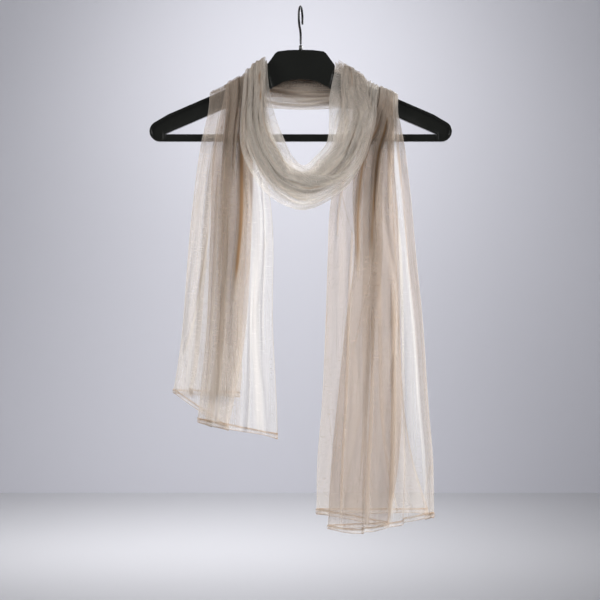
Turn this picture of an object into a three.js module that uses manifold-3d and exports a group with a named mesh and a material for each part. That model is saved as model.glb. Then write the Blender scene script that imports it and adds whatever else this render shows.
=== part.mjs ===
// A gauze scarf wound once round the neck of a plastic clothes hanger.
// Millimetres, +Z up, +X to the viewer's right, the viewer at -Y.
// The origin is the point under the crown of the hook where it rests on a rail.
import * as THREE from 'three';
import Module from 'manifold-3d';
import { mergeVertices } from 'three/addons/utils/BufferGeometryUtils.js';

const wasm = await Module();
wasm.setup();

// ---------------------------------------------------------------- driving sizes
const WALL = 1.2; // cloth wall
const HEM_WALL = 2.0; // the turned hem is three cloths thick
const HEM_DEPTH = 6.5;
const SEAM_GAP = 0.3; // clear gap between neighbouring pieces

const HANGER_HALF_WIDTH = 220;
const ARM_THICK = 12;
const ARM_WEB = 4; // plate left between the two recesses of an arm
const ARM_RIM = 3.2; // width of the raised edge round a recess
const BLOCK_THICK = 11;
const BAR_THICK = 8;
const BAR_TOP = -184.3;
const BAR_BOTTOM = -195;
const ARM_SLOPE = 0.4386; // fall of an arm for each millimetre outward
const ARM_START = { x: 47.4, z: -91.8 }; // where the upper edge of an arm leaves the neck block

const WIRE = 3.6; // hook wire diameter
const HOOK_RADIUS = 17; // centre line of the hook's bow
const HOOK_TURN = THREE.MathUtils.degToRad(-9); // the bow is turned a little about its stem
const BLOCK_TOP = -61.6;
const COLLAR = { radius: 2.6, height: 7 };

// ---------------------------------------------------------------- the folded cloth
// Across its width the gathered scarf is folded five deep, like a letter z with two more strokes.
// Layer 0 lies outermost. Every layer runs between two of the six fold lines p0 to p5, where p0 and p5
// are the free selvages. Each fold line's place is a share of the way from the inner edge (in) to the
// outer edge (out) of the band.
const LAYERS = 5;
const LAYER_POINTS = [9, 6, 7, 9, 7]; // corners along each layer of a section
const BEND_ANGLES = [Math.PI / 3, (2 * Math.PI) / 3]; // corners round each fold
const BOWED_LAYER = 1; // the widest layer near the front, whose hem hangs in a curve

/** Height of the long soft ripples that all layers of a section share. */
function ripple(share, phase) {
  return Math.sin(2 * Math.PI * (2.3 * share + phase)) + 0.5 * Math.sin(2 * Math.PI * (3.7 * share - phase));
}

/** Centre line of one folded section: places across the band and heights above its inner side. */
function foldedLine(width, pitch, folds, waveHeight, phase) {
  const radius = pitch / 2;
  const places = folds.map((share) => share * width);
  const points = [];
  for (let layer = 0; layer < LAYERS; layer += 1) {
    const way = Math.sign(places[layer + 1] - places[layer]);
    const height = (LAYERS - 1 - layer) * pitch;
    const start = layer === 0 ? places[0] : places[layer] + way * radius;
    const end = layer === LAYERS - 1 ? places[LAYERS] : places[layer + 1] - way * radius;
    const count = LAYER_POINTS[layer];
    for (let i = 0; i < count; i += 1) {
      points.push({ across: THREE.MathUtils.lerp(start, end, i / (count - 1)), up: height, fold: layer });
    }
    if (layer === LAYERS - 1) break;
    for (const angle of BEND_ANGLES) {
      points.push({
        across: end + way * radius * Math.sin(angle),
        up: height - radius * (1 - Math.cos(angle)),
        fold: layer + 1,
      });
    }
  }
  for (const point of points) point.up += waveHeight * ripple(point.across / width, phase);
  return points;
}

/** Moves every corner of an open line sideways, so that the line's copies lie a fixed distance from it. */
function offsetLine(line, distance) {
  return line.map((point, i) => {
    const before = line[Math.max(i - 1, 0)];
    const after = line[Math.min(i + 1, line.length - 1)];
    const first = new THREE.Vector2(point.across - before.across, point.up - before.up);
    const second = new THREE.Vector2(after.across - point.across, after.up - point.up);
    if (first.length() === 0) first.copy(second);
    if (second.length() === 0) second.copy(first);
    const along = first.normalize().add(second.normalize()).normalize();
    const stretch = 1 / Math.max(along.dot(second), 0.6);
    return {
      ...point,
      across: point.across - along.y * distance * stretch,
      up: point.up + along.x * distance * stretch,
    };
  });
}

/** How far a point hangs below its row: its share of the two fold lines' drops, and the front layer's bow. */
function dropAt(point, width, { folds, drops, bow }) {
  const share = point.across / width;
  const from = point.fold;
  const to = Math.min(from + 1, LAYERS);
  const span = folds[to] - folds[from];
  const part = span === 0 ? 0 : THREE.MathUtils.clamp((share - folds[from]) / span, 0, 1);
  const belly = from === BOWED_LAYER ? bow * Math.sin(Math.PI * part ** 1.6) : 0;
  return THREE.MathUtils.lerp(drops[from], drops[to], part) + belly;
}

/** Direction in which the layers of a section are stacked, away from the hanger. */
function stackDirection(inner, outer, turn) {
  const across = new THREE.Vector3().subVectors(outer, inner);
  const up = new THREE.Vector3(-across.z, 0, across.x).normalize();
  if (up.z < 0) up.negate();
  const front = new THREE.Vector3(0, -1, 0);
  return front.multiplyScalar(Math.cos(turn)).addScaledVector(up, Math.sin(turn)).normalize();
}

/** The closed ring of corners of one section, outer side first. */
function sectionRing(row, wall) {
  const across = new THREE.Vector3().subVectors(row.out, row.in);
  const width = across.length();
  across.normalize();
  const stack = stackDirection(row.in, row.out, row.turn);
  const line = foldedLine(width, row.pitch, row.folds, row.wave, row.phase);
  const place = (point) =>
    row.in
      .clone()
      .addScaledVector(across, point.across)
      .addScaledVector(stack, point.up)
      .add(new THREE.Vector3(0, 0, -dropAt(point, width, row)));
  const outside = offsetLine(line, wall / 2).map(place);
  const inside = offsetLine(line, -wall / 2).map(place);
  return { outside, inside };
}

/** Smooth value between four neighbouring rows. */
function blend(a, b, c, d, t) {
  const slopeB = (c - a) / 2;
  const slopeC = (d - b) / 2;
  const t2 = t * t;
  const t3 = t2 * t;
  return (2 * t3 - 3 * t2 + 1) * b + (t3 - 2 * t2 + t) * slopeB + (3 * t2 - 2 * t3) * c + (t3 - t2) * slopeC;
}

/** A row at any place along a table of rows. */
function rowAt(rows, place) {
  const last = rows.length - 1;
  const index = Math.min(Math.floor(place), last - 1);
  const t = place - index;
  const near = [index - 1, index, index + 1, index + 2].map((i) => rows[THREE.MathUtils.clamp(i, 0, last)]);
  const mix = (pick) => blend(...near.map(pick), t);
  const mixVector = (pick) => new THREE.Vector3(
    mix((row) => pick(row).x),
    mix((row) => pick(row).y),
    mix((row) => pick(row).z),
  );
  return {
    in: mixVector((row) => row.in),
    out: mixVector((row) => row.out),
    turn: mix((row) => row.turn),
    pitch: mix((row) => row.pitch),
    wave: mix((row) => row.wave),
    phase: mix((row) => row.phase),
    folds: near[1].folds.map((_, i) => THREE.MathUtils.clamp(mix((row) => row.folds[i]), 0, 1)),
    drops: near[1].drops.map((_, i) => mix((row) => row.drops[i])),
    bow: mix((row) => row.bow),
  };
}

/** A closed wall lofted through the folded sections of a table of rows. */
function clothWall(rows, wall, stepsPerRow) {
  const stations = [];
  const count = (rows.length - 1) * stepsPerRow;
  for (let i = 0; i <= count; i += 1) stations.push(sectionRing(rowAt(rows, i / stepsPerRow), wall));
  trimEnd(stations[0], stations[1]);
  trimEnd(stations[count], stations[count - 1]);

  const size = stations[0].outside.length;
  const vertices = stations.flatMap((s) => [...s.outside, ...s.inside.toReversed()]);
  const ring = size * 2;
  const triangles = [];
  const quad = (a, b, c, d) => triangles.push(a, b, c, a, c, d);
  for (let s = 0; s < count; s += 1) {
    for (let i = 0; i < ring; i += 1) {
      const j = (i + 1) % ring;
      quad(s * ring + i, s * ring + j, (s + 1) * ring + j, (s + 1) * ring + i);
    }
  }
  const base = count * ring;
  for (let i = 0; i < size - 1; i += 1) {
    const across = ring - 1 - i;
    quad(i, across, across - 1, i + 1);
    quad(base + i, base + i + 1, base + across - 1, base + across);
  }
  return outward(vertices, triangles);
}

/** Draws an end section back by half a seam gap. */
function trimEnd(end, next) {
  for (const side of ['outside', 'inside']) {
    end[side].forEach((point, i) => {
      const pull = next[side][i].clone().sub(point);
      point.addScaledVector(pull.normalize(), SEAM_GAP / 2);
    });
  }
}

/** A geometry from corners and triangles, its faces turned to the outside. */
function outward(vertices, triangles) {
  let volume = 0;
  for (let i = 0; i < triangles.length; i += 3) {
    const [a, b, c] = [0, 1, 2].map((k) => vertices[triangles[i + k]]);
    volume += a.dot(b.clone().cross(c));
  }
  const order = volume < 0 ? triangles.toReversed() : triangles;
  const geometry = new THREE.BufferGeometry();
  const numbers = vertices.flatMap((v) => v.toArray());
  geometry.setAttribute('position', new THREE.Float32BufferAttribute(numbers, 3));
  geometry.setIndex(order);
  return geometry;
}

// ---------------------------------------------------------------- rows of the scarf
const EVEN_HEM = [0, 0, 0, 0, 0, 0];
const ARM_CORNER = ARM_THICK / 2;
const CORNER_BULGE = 1.35; // the cloth goes squarely round the arm's edges

/** Height of an arm's upper edge. */
function armTop(x) {
  return ARM_START.z - (Math.abs(x) - ARM_START.x) * ARM_SLOPE;
}

/** A place on the way over an arm: 0 degrees is in front, 90 on top, 180 behind. */
function overArm(x, degrees, lift, fall, rise) {
  const angle = THREE.MathUtils.degToRad(degrees);
  const top = Math.sin(angle);
  const y = -THREE.MathUtils.clamp(Math.cos(angle) * CORNER_BULGE, -1, 1) * (ARM_CORNER + lift);
  const z = armTop(x) + top * lift + top * top * rise - (1 - top) ** 3 * fall;
  return new THREE.Vector3(x, y, z);
}

/** A row of a stretch that crosses an arm; rises are how much higher its inner and outer edges stand. */
function armRow({ in_x, out_x, turn, lift, fall = 10, rises = [0, 0], pitch, wave, phase, folds }) {
  return {
    in: overArm(in_x, turn, lift, fall, rises[0]),
    out: overArm(out_x, turn, lift, fall, rises[1]),
    turn: THREE.MathUtils.degToRad(turn),
    pitch,
    wave,
    phase,
    folds,
    drops: EVEN_HEM,
    bow: 0,
  };
}

/** A row of a stretch that hangs free or lies behind the neck. */
function freeRow({ in: inner, out: outer, turn, pitch, wave, phase, folds, drops = EVEN_HEM, bow = 0 }) {
  return {
    in: new THREE.Vector3(...inner),
    out: new THREE.Vector3(...outer),
    turn: THREE.MathUtils.degToRad(turn),
    pitch,
    wave,
    phase,
    folds,
    drops,
    bow,
  };
}

/** The same row, moved straight up. */
function raised(row, height) {
  return {
    ...row,
    in: row.in.clone().setZ(row.in.z + height),
    out: row.out.clone().setZ(row.out.z + height),
  };
}

// Columns: in and out are the edges of the band's innermost layer (x, y, z); turn is the way its layers
// face, 0 to the front and 180 to the back; pitch is the distance between layers; wave and phase set the
// ripples; folds are the places of the six fold lines; drops are how far each hangs lower at a hem, and
// bow how far the hem of the second layer hangs below a straight line.
const LEFT_HEM = freeRow({
  in: [-33, -13, -625], out: [-184, -13, -561], turn: 0, pitch: 5, wave: 2.2, phase: 0.1,
  folds: [0, 0.763, 0.473, 1, 0.367, 0.6], drops: [0, 26, 20, 0, -35, -22],
});
const LEFT_SHOULDER = armRow({
  in_x: -55, out_x: -129, turn: 90, lift: 2.4, rises: [0, -2.8], pitch: 1.65, wave: 0.3, phase: 0.5,
  folds: [0, 0.56, 0.16, 1, 0.2, 0.4],
});
const LEFT_TAIL_ROWS = [
  raised(LEFT_HEM, HEM_DEPTH),
  freeRow({
    in: [-35, -13, -560], out: [-178, -13, -520], turn: 0, pitch: 5, wave: 2.4, phase: 0.15,
    folds: [0, 0.75, 0.4, 1, 0.35, 0.61], drops: [0, 8, 6, 0, -8, -5],
  }),
  freeRow({
    in: [-40, -13, -455], out: [-170, -13, -455], turn: 0, pitch: 5, wave: 2.4, phase: 0.2,
    folds: [0, 0.73, 0.29, 1, 0.34, 0.62],
  }),
  freeRow({
    in: [-40, -13, -323], out: [-160, -13, -323], turn: 0, pitch: 4.6, wave: 2.2, phase: 0.3,
    folds: [0, 0.75, 0.255, 1, 0.315, 0.64],
  }),
  freeRow({
    in: [-52, -12, -215], out: [-147, -12, -215], turn: 0, pitch: 3.5, wave: 1.4, phase: 0.4,
    folds: [0, 0.78, 0.18, 1, 0.24, 0.62],
  }),
  armRow({
    in_x: -55, out_x: -134, turn: 0, lift: 3, fall: 22, pitch: 2.1, wave: 0.6, phase: 0.5,
    folds: [0, 0.74, 0.18, 1, 0.24, 0.58],
  }),
  armRow({
    in_x: -55, out_x: -131, turn: 45, lift: 2.6, rises: [0, -1.5], pitch: 1.8, wave: 0.4, phase: 0.5,
    folds: [0, 0.64, 0.17, 1, 0.22, 0.48],
  }),
  LEFT_SHOULDER,
];

const RIGHT_SHOULDER_UNDER = armRow({
  in_x: 50.8, out_x: 111, turn: 90, lift: 2.4, rises: [9, -2], pitch: 1.75, wave: 0.3, phase: 0.6,
  folds: [0.12, 0.5, 0.04, 1, 0, 0.44],
});
const BACK_UNDER_ROWS = [
  LEFT_SHOULDER,
  armRow({
    in_x: -54, out_x: -126, turn: 135, lift: 2.6, fall: 4, rises: [0, -1.5],
    pitch: 1.8, wave: 0.4, phase: 0.5,
    folds: [0, 0.6, 0.17, 1, 0.22, 0.46],
  }),
  freeRow({
    in: [-50, 9, -90], out: [-110, 9, -142], turn: 180, pitch: 2.5, wave: 0.6, phase: 0.5,
    folds: [0, 0.7, 0.17, 1, 0.23, 0.62],
  }),
  freeRow({
    in: [-36, 9, -75], out: [-71, 9, -143], turn: 180, pitch: 2.6, wave: 0.8, phase: 0.52,
    folds: [0, 0.76, 0.15, 1, 0.23, 0.68],
  }),
  freeRow({
    in: [-1, 9, -73], out: [-1, 9, -147], turn: 180, pitch: 2.7, wave: 0.9, phase: 0.54,
    folds: [0, 0.76, 0.15, 1, 0.23, 0.66],
  }),
  freeRow({
    in: [34, 9, -75], out: [53, 9, -145], turn: 180, pitch: 2.7, wave: 0.8, phase: 0.56,
    folds: [0.1, 0.77, 0.14, 1, 0.2, 0.65],
  }),
  freeRow({
    in: [48, 9, -82], out: [89, 9, -140], turn: 180, pitch: 2.4, wave: 0.6, phase: 0.58,
    folds: [0.2, 0.76, 0.1, 1, 0.08, 0.64],
  }),
  armRow({
    in_x: 51, out_x: 108.5, turn: 135, lift: 2.6, fall: 4, rises: [8, -1],
    pitch: 2, wave: 0.4, phase: 0.6,
    folds: [0.18, 0.6, 0.06, 1, 0, 0.52],
  }),
  RIGHT_SHOULDER_UNDER,
];

const LEFT_SHOULDER_OVER = armRow({
  in_x: -48.6, out_x: -77, turn: 90, lift: 11.2, rises: [3, -2], pitch: 1.6, wave: 0.2, phase: 0.3,
  folds: [0.08, 0.55, 0.16, 1, 0, 0.48],
});
const COWL_ROWS = [
  RIGHT_SHOULDER_UNDER,
  armRow({
    in_x: 50.4, out_x: 110.5, turn: 45, lift: 2.8, rises: [6, 0], pitch: 2, wave: 0.4, phase: 0.6,
    folds: [0.24, 0.66, 0.1, 1, 0, 0.58],
  }),
  freeRow({
    in: [45, -9.5, -112], out: [107.5, -10, -136], turn: 0, pitch: 2.6, wave: 0.7, phase: 0.6,
    folds: [0.42, 0.84, 0.2, 1, 0, 0.74],
  }),
  freeRow({
    in: [41, -14, -138], out: [109, -26, -162], turn: 0, pitch: 3, wave: 1, phase: 0.58,
    folds: [0.64, 0.93, 0.28, 1, 0, 0.8],
  }),
  freeRow({
    in: [41, -20, -165], out: [101, -35, -197], turn: 0, pitch: 3.4, wave: 1.3, phase: 0.55,
    folds: [0.8, 0.95, 0.22, 1, 0, 0.76],
  }),
  freeRow({
    in: [38, -27, -197], out: [87, -40, -233], turn: 0, pitch: 3.8, wave: 1.5, phase: 0.5,
    folds: [0.82, 0.95, 0.12, 1, 0, 0.7],
  }),
  freeRow({
    in: [23, -33, -217], out: [58, -42, -271], turn: 0, pitch: 4, wave: 1.6, phase: 0.45,
    folds: [0.56, 0.88, 0.1, 1, 0, 0.66],
  }),
  freeRow({
    in: [4, -36, -232], out: [6, -42, -297], turn: 0, pitch: 4, wave: 1.7, phase: 0.4,
    folds: [0.06, 0.78, 0.14, 1, 0, 0.64],
  }),
  freeRow({
    in: [-13, -36, -217], out: [-42, -41, -279], turn: 0, pitch: 4, wave: 1.6, phase: 0.35,
    folds: [0.14, 0.8, 0.2, 1, 0, 0.66],
  }),
  freeRow({
    in: [-25, -33, -191], out: [-72, -39, -241], turn: 0, pitch: 3.8, wave: 1.4, phase: 0.32,
    folds: [0.18, 0.84, 0.24, 1, 0, 0.68],
  }),
  freeRow({
    in: [-36, -28, -162], out: [-86, -35, -206], turn: 0, pitch: 3.4, wave: 1.1, phase: 0.3,
    folds: [0.16, 0.86, 0.24, 1, 0, 0.7],
  }),
  freeRow({
    in: [-43, -22.5, -133], out: [-87, -28.5, -168], turn: 0, pitch: 2.8, wave: 0.7, phase: 0.3,
    folds: [0.12, 0.9, 0.2, 1, 0, 0.71],
  }),
  freeRow({
    in: [-47, -19.5, -106], out: [-84, -21.5, -131], turn: 0, pitch: 2.2, wave: 0.4, phase: 0.3,
    folds: [0.1, 0.76, 0.18, 1, 0, 0.62],
  }),
  armRow({
    in_x: -48, out_x: -80, turn: 45, lift: 12.4, fall: 4, rises: [2, -2], pitch: 1.8, wave: 0.3, phase: 0.3,
    folds: [0.08, 0.64, 0.16, 1, 0, 0.54],
  }),
  LEFT_SHOULDER_OVER,
];

const RIGHT_SHOULDER_OVER = armRow({
  in_x: 113, out_x: 138, turn: 90, lift: 2.4, rises: [0, -4.6], pitch: 1.6, wave: 0.1, phase: 0.1,
  folds: [0.5, 1, 0.12, 0.62, 0, 0.26],
});
const BACK_OVER_ROWS = [
  LEFT_SHOULDER_OVER,
  armRow({
    in_x: -48, out_x: -73, turn: 135, lift: 13.5, fall: 4, rises: [2, -1], pitch: 1.8, wave: 0.3, phase: 0.3,
    folds: [0.08, 0.66, 0.16, 1, 0, 0.56],
  }),
  freeRow({
    in: [-31, 24.5, -74], out: [-50, 24.5, -124], turn: 180, pitch: 2.6, wave: 0.6, phase: 0.25,
    folds: [0.05, 0.82, 0.15, 1, 0, 0.72],
  }),
  freeRow({
    in: [2, 25, -73], out: [-2, 25, -138], turn: 180, pitch: 2.8, wave: 0.9, phase: 0.2,
    folds: [0.1, 0.84, 0.14, 1, 0, 0.7],
  }),
  freeRow({
    in: [52, 25, -82], out: [48, 25, -143], turn: 180, pitch: 2.7, wave: 0.8, phase: 0.15,
    folds: [0.25, 0.9, 0.15, 0.96, 0, 0.72],
  }),
  freeRow({
    in: [88, 24, -99], out: [90, 24, -150], turn: 175, pitch: 2.5, wave: 0.5, phase: 0.12,
    folds: [0.4, 0.96, 0.17, 0.92, 0, 0.75],
  }),
  freeRow({
    in: [109, 16, -113], out: [125, 17, -148], turn: 160, pitch: 2.3, wave: 0.3, phase: 0.1,
    folds: [0.55, 1, 0.19, 0.88, 0, 0.78],
  }),
  armRow({
    in_x: 113.4, out_x: 137, turn: 130, lift: 2.8, fall: 4, rises: [0, -2.6],
    pitch: 1.8, wave: 0.2, phase: 0.1,
    folds: [0.54, 1, 0.14, 0.7, 0, 0.44],
  }),
  RIGHT_SHOULDER_OVER,
];

const RIGHT_HEM = freeRow({
  in: [23, -13, -735], out: [192, -13, -739], turn: 0, pitch: 5, wave: 2.4, phase: 0.1,
  folds: [0.93, 1, 0.095, 0.62, 0, 0.957], drops: [3, 0, 22, 16, 0, -4], bow: 11,
});
const RIGHT_TAIL_ROWS = [
  RIGHT_SHOULDER_OVER,
  armRow({
    in_x: 112, out_x: 139, turn: 45, lift: 2.8, rises: [0, -2.6], pitch: 1.8, wave: 0.2, phase: 0.1,
    folds: [0.58, 1, 0.14, 0.7, 0, 0.48],
  }),
  armRow({
    in_x: 107, out_x: 141, turn: 0, lift: 3, fall: 20, pitch: 2.2, wave: 0.3, phase: 0.1,
    folds: [0.68, 1, 0.18, 0.76, 0, 0.66],
  }),
  freeRow({
    in: [90, -10, -175], out: [146, -10, -178], turn: 0, pitch: 2.6, wave: 0.7, phase: 0.1,
    folds: [0.8, 1, 0.2, 0.8, 0, 0.73],
  }),
  freeRow({
    in: [60, -12, -215], out: [152, -12, -215], turn: 0, pitch: 3.2, wave: 1.2, phase: 0.12,
    folds: [0.86, 1, 0.3, 0.81, 0, 0.75],
  }),
  freeRow({
    in: [43, -13, -287], out: [160, -13, -287], turn: 0, pitch: 4.2, wave: 1.8, phase: 0.14,
    folds: [0.89, 1, 0.3, 0.82, 0, 0.775],
  }),
  freeRow({
    in: [39, -13, -367], out: [167, -13, -367], turn: 0, pitch: 4.8, wave: 2.2, phase: 0.16,
    folds: [0.9, 1, 0.3, 0.8, 0, 0.78],
  }),
  freeRow({
    in: [36, -13, -455], out: [176, -13, -455], turn: 0, pitch: 5, wave: 2.4, phase: 0.16,
    folds: [0.91, 1, 0.21, 0.77, 0, 0.76],
  }),
  freeRow({
    in: [31, -13, -571], out: [184, -13, -571], turn: 0, pitch: 5, wave: 2.4, phase: 0.14,
    folds: [0.92, 1, 0.145, 0.75, 0, 0.77],
  }),
  freeRow({
    in: [24, -13, -659], out: [191, -13, -659], turn: 0, pitch: 5, wave: 2.4, phase: 0.12,
    folds: [0.93, 1, 0.122, 0.7, 0, 0.834], drops: [1, 0, 6, 5, 0, -1], bow: 3,
  }),
  raised(RIGHT_HEM, HEM_DEPTH),
];

// ---------------------------------------------------------------- the hanger
/** A flat plate in the XZ plane, centred on the hanger's middle plane. */
function plate(outline, thick) {
  const shape = new THREE.Shape(outline.map(([x, z]) => new THREE.Vector2(x, z)));
  const geometry = new THREE.ExtrudeGeometry(shape, { depth: thick, bevelEnabled: false });
  geometry.rotateX(Math.PI / 2);
  geometry.translate(0, thick / 2, 0);
  return geometry;
}

function toSolid(geometry) {
  const bare = geometry.clone();
  bare.deleteAttribute('normal');
  bare.deleteAttribute('uv');
  const merged = mergeVertices(bare, 1e-4);
  const mesh = new wasm.Mesh({
    numProp: 3,
    vertProperties: new Float32Array(merged.attributes.position.array),
    triVerts: new Uint32Array(merged.index.array),
  });
  return new wasm.Manifold(mesh);
}

function toGeometry(solid) {
  const mesh = solid.getMesh();
  const geometry = new THREE.BufferGeometry();
  geometry.setAttribute('position', new THREE.Float32BufferAttribute(mesh.vertProperties, 3));
  geometry.setIndex(new THREE.Uint32BufferAttribute(mesh.triVerts, 1));
  return geometry;
}

/** Points of an arc from one angle to another, in degrees. */
function arc([x, z], radius, from, to, steps) {
  return Array.from({ length: steps + 1 }, (_, i) => {
    const angle = THREE.MathUtils.degToRad(from + ((to - from) * i) / steps);
    return [x + radius * Math.cos(angle), z + radius * Math.sin(angle)];
  });
}

const ARM_END_RADIUS = 15;
const ARM_END_CENTRE = [HANGER_HALF_WIDTH - ARM_END_RADIUS, BAR_BOTTOM + ARM_END_RADIUS];
const ARM_SHOULDER_X = 193; // where the upper edge turns into the rounded end
const ARM_LOWER = { x: 42.9, z: -116.9, slope: 0.436 }; // the lower edge, from the neck block outward
const BAR_JOINT_X = 197; // where the arm's foot meets the trouser bar

/** Outline of the right arm: down the upper edge, round the end, back along the lower edge. */
function armOutline(inset = 0) {
  const rise = Math.hypot(1, ARM_SLOPE) * inset;
  const upper = (x) => armTop(x) - rise;
  const lower = (x) => ARM_LOWER.z - (x - ARM_LOWER.x) * ARM_LOWER.slope + rise;
  const upperStart = 49.2 + inset;
  const lowerStart = 43.2 + inset * 1.2;
  return [
    [upperStart, upper(upperStart)],
    [ARM_SHOULDER_X, upper(ARM_SHOULDER_X)],
    ...arc(ARM_END_CENTRE, ARM_END_RADIUS - inset, 52, -90, 8),
    [BAR_JOINT_X + inset, BAR_BOTTOM + inset],
    [BAR_JOINT_X + inset, lower(BAR_JOINT_X + inset)],
    [lowerStart, lower(lowerStart)],
  ];
}

function armGeometry(side) {
  const body = toSolid(plate(armOutline(), ARM_THICK));
  const pocketDepth = (ARM_THICK - ARM_WEB) / 2;
  const pocket = plate(armOutline(ARM_RIM), pocketDepth * 2);
  const front = pocket.clone().translate(0, -ARM_THICK / 2, 0);
  const back = pocket.clone().translate(0, ARM_THICK / 2, 0);
  let solid = body.subtract(toSolid(front)).subtract(toSolid(back));
  if (side < 0) solid = solid.mirror([1, 0, 0]);
  return toGeometry(solid);
}

function blockGeometry() {
  const half = [
    [18, -62], [33, -63.9], [37, -66.6], [49.8, -84.2], [49.5, -88.5], [42.4, -116.7],
    [34, -113.3], [25, -108.2], [13, -104.8], [0, -103.8],
  ];
  const left = half.slice(0, -1).toReversed().map(([x, z]) => [-x, z]);
  return plate([[0, BLOCK_TOP], ...half, ...left], BLOCK_THICK);
}

function barGeometry() {
  const reach = BAR_JOINT_X - SEAM_GAP;
  const solid = toSolid(plate(
    [[-reach, BAR_BOTTOM], [reach, BAR_BOTTOM], [reach, BAR_TOP], [-reach, BAR_TOP]], BAR_THICK,
  ));
  return toGeometry(solid);
}

function collarGeometry() {
  const { radius, height } = COLLAR;
  const outline = [[0, 0], [radius, 0], [radius, height - 1], [radius - 0.7, height], [0, height]];
  const geometry = new THREE.LatheGeometry(outline.map(([r, z]) => new THREE.Vector2(r, z)), 16);
  geometry.rotateX(Math.PI / 2);
  geometry.translate(0, 0, BLOCK_TOP + SEAM_GAP);
  return geometry;
}

/** Centre line of the hook, in the plane across the rail: up the stem, over the bow, down behind. */
function hookLine() {
  const crown = WIRE / 2;
  const centre = crown - HOOK_RADIUS;
  const points = [[0, BLOCK_TOP + COLLAR.height + SEAM_GAP * 2], [0, centre - HOOK_RADIUS - 8]];
  points.push([-3, centre - HOOK_RADIUS - 1.5]);
  for (let degrees = 235; degrees >= -25; degrees -= 20) {
    const angle = THREE.MathUtils.degToRad(degrees);
    points.push([HOOK_RADIUS * Math.cos(angle), centre + HOOK_RADIUS * Math.sin(angle)]);
  }
  return points.map(([y, z]) => new THREE.Vector3(0, y, z));
}

function hookGeometry() {
  const path = new THREE.CatmullRomCurve3(hookLine(), false, 'centripetal');
  const section = new THREE.Shape();
  section.absarc(0, 0, WIRE / 2, 0, Math.PI * 2);
  const geometry = new THREE.ExtrudeGeometry(section, { steps: 44, curveSegments: 5, extrudePath: path });
  geometry.rotateZ(HOOK_TURN);
  return geometry;
}

// ---------------------------------------------------------------- assembly
const gauze = new THREE.MeshStandardMaterial({ color: '#b5aa9f', roughness: 0.9, metalness: 0 });
const hemCloth = new THREE.MeshStandardMaterial({ color: '#b5a595', roughness: 0.9, metalness: 0 });
const plastic = new THREE.MeshStandardMaterial({ color: '#141512', roughness: 0.3, metalness: 0 });
const blackWire = new THREE.MeshStandardMaterial({ color: '#141512', roughness: 0.35, metalness: 0.6 });

const scarf = new THREE.Group();

function add(name, geometry, material) {
  const mesh = new THREE.Mesh(geometry, material);
  mesh.name = name;
  scarf.add(mesh);
}

add('tail_left', clothWall(LEFT_TAIL_ROWS, WALL, 1), gauze);
add('back_under', clothWall(BACK_UNDER_ROWS, WALL, 1), gauze);
add('cowl', clothWall(COWL_ROWS, WALL, 2), gauze);
add('back_over', clothWall(BACK_OVER_ROWS, WALL, 1), gauze);
add('tail_right', clothWall(RIGHT_TAIL_ROWS, WALL, 1), gauze);
add('hem_left', clothWall([LEFT_HEM, raised(LEFT_HEM, HEM_DEPTH)], HEM_WALL, 1), hemCloth);
add('hem_right', clothWall([RIGHT_HEM, raised(RIGHT_HEM, HEM_DEPTH)], HEM_WALL, 1), hemCloth);
add('neck_block', blockGeometry(), plastic);
add('arm_left', armGeometry(-1), plastic);
add('arm_right', armGeometry(1), plastic);
add('trouser_bar', barGeometry(), plastic);
add('collar', collarGeometry(), plastic);
add('hook', hookGeometry(), blackWire);

export default scarf;
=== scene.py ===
"""A gauze scarf wound once round the neck of a clothes hanger, dressed for rendering."""

import math
from collections import namedtuple
from functools import partial

import bpy
import numpy as np
from bpy.props import FloatProperty, PointerProperty, StringProperty
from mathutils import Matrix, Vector


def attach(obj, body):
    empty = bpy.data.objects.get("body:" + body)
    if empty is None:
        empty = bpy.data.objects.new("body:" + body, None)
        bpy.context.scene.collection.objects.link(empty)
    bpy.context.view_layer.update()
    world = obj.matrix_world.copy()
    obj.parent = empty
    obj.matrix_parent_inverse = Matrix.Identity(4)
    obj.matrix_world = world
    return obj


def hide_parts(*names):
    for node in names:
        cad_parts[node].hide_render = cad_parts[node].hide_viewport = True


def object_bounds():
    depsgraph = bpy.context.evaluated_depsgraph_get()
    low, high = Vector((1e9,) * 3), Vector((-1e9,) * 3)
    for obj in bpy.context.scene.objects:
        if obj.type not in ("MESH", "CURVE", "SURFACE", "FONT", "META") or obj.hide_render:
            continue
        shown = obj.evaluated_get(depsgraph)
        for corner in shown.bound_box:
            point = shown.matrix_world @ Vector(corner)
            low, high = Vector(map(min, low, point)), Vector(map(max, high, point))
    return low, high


bl_info = {
    "name": "Gauze Scarf on a Hanger",
    "version": (1, 0, 0),
    "blender": (4, 5, 0),
    "location": "View3D > Sidebar > Scarf",
    "description": "Dresses a wound gauze scarf and its hanger: cloth, hems, stitches, plastic and wire",
    "category": "Object",
}

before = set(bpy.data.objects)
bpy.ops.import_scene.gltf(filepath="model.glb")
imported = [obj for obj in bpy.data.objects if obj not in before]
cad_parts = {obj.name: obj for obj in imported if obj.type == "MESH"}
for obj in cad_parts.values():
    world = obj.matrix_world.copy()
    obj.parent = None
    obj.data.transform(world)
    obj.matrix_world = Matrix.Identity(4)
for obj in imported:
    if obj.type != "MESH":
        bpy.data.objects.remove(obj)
CAD_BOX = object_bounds()
MM = 0.001
DOWN = np.array([0.0, 0.0, -1.0])

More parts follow.
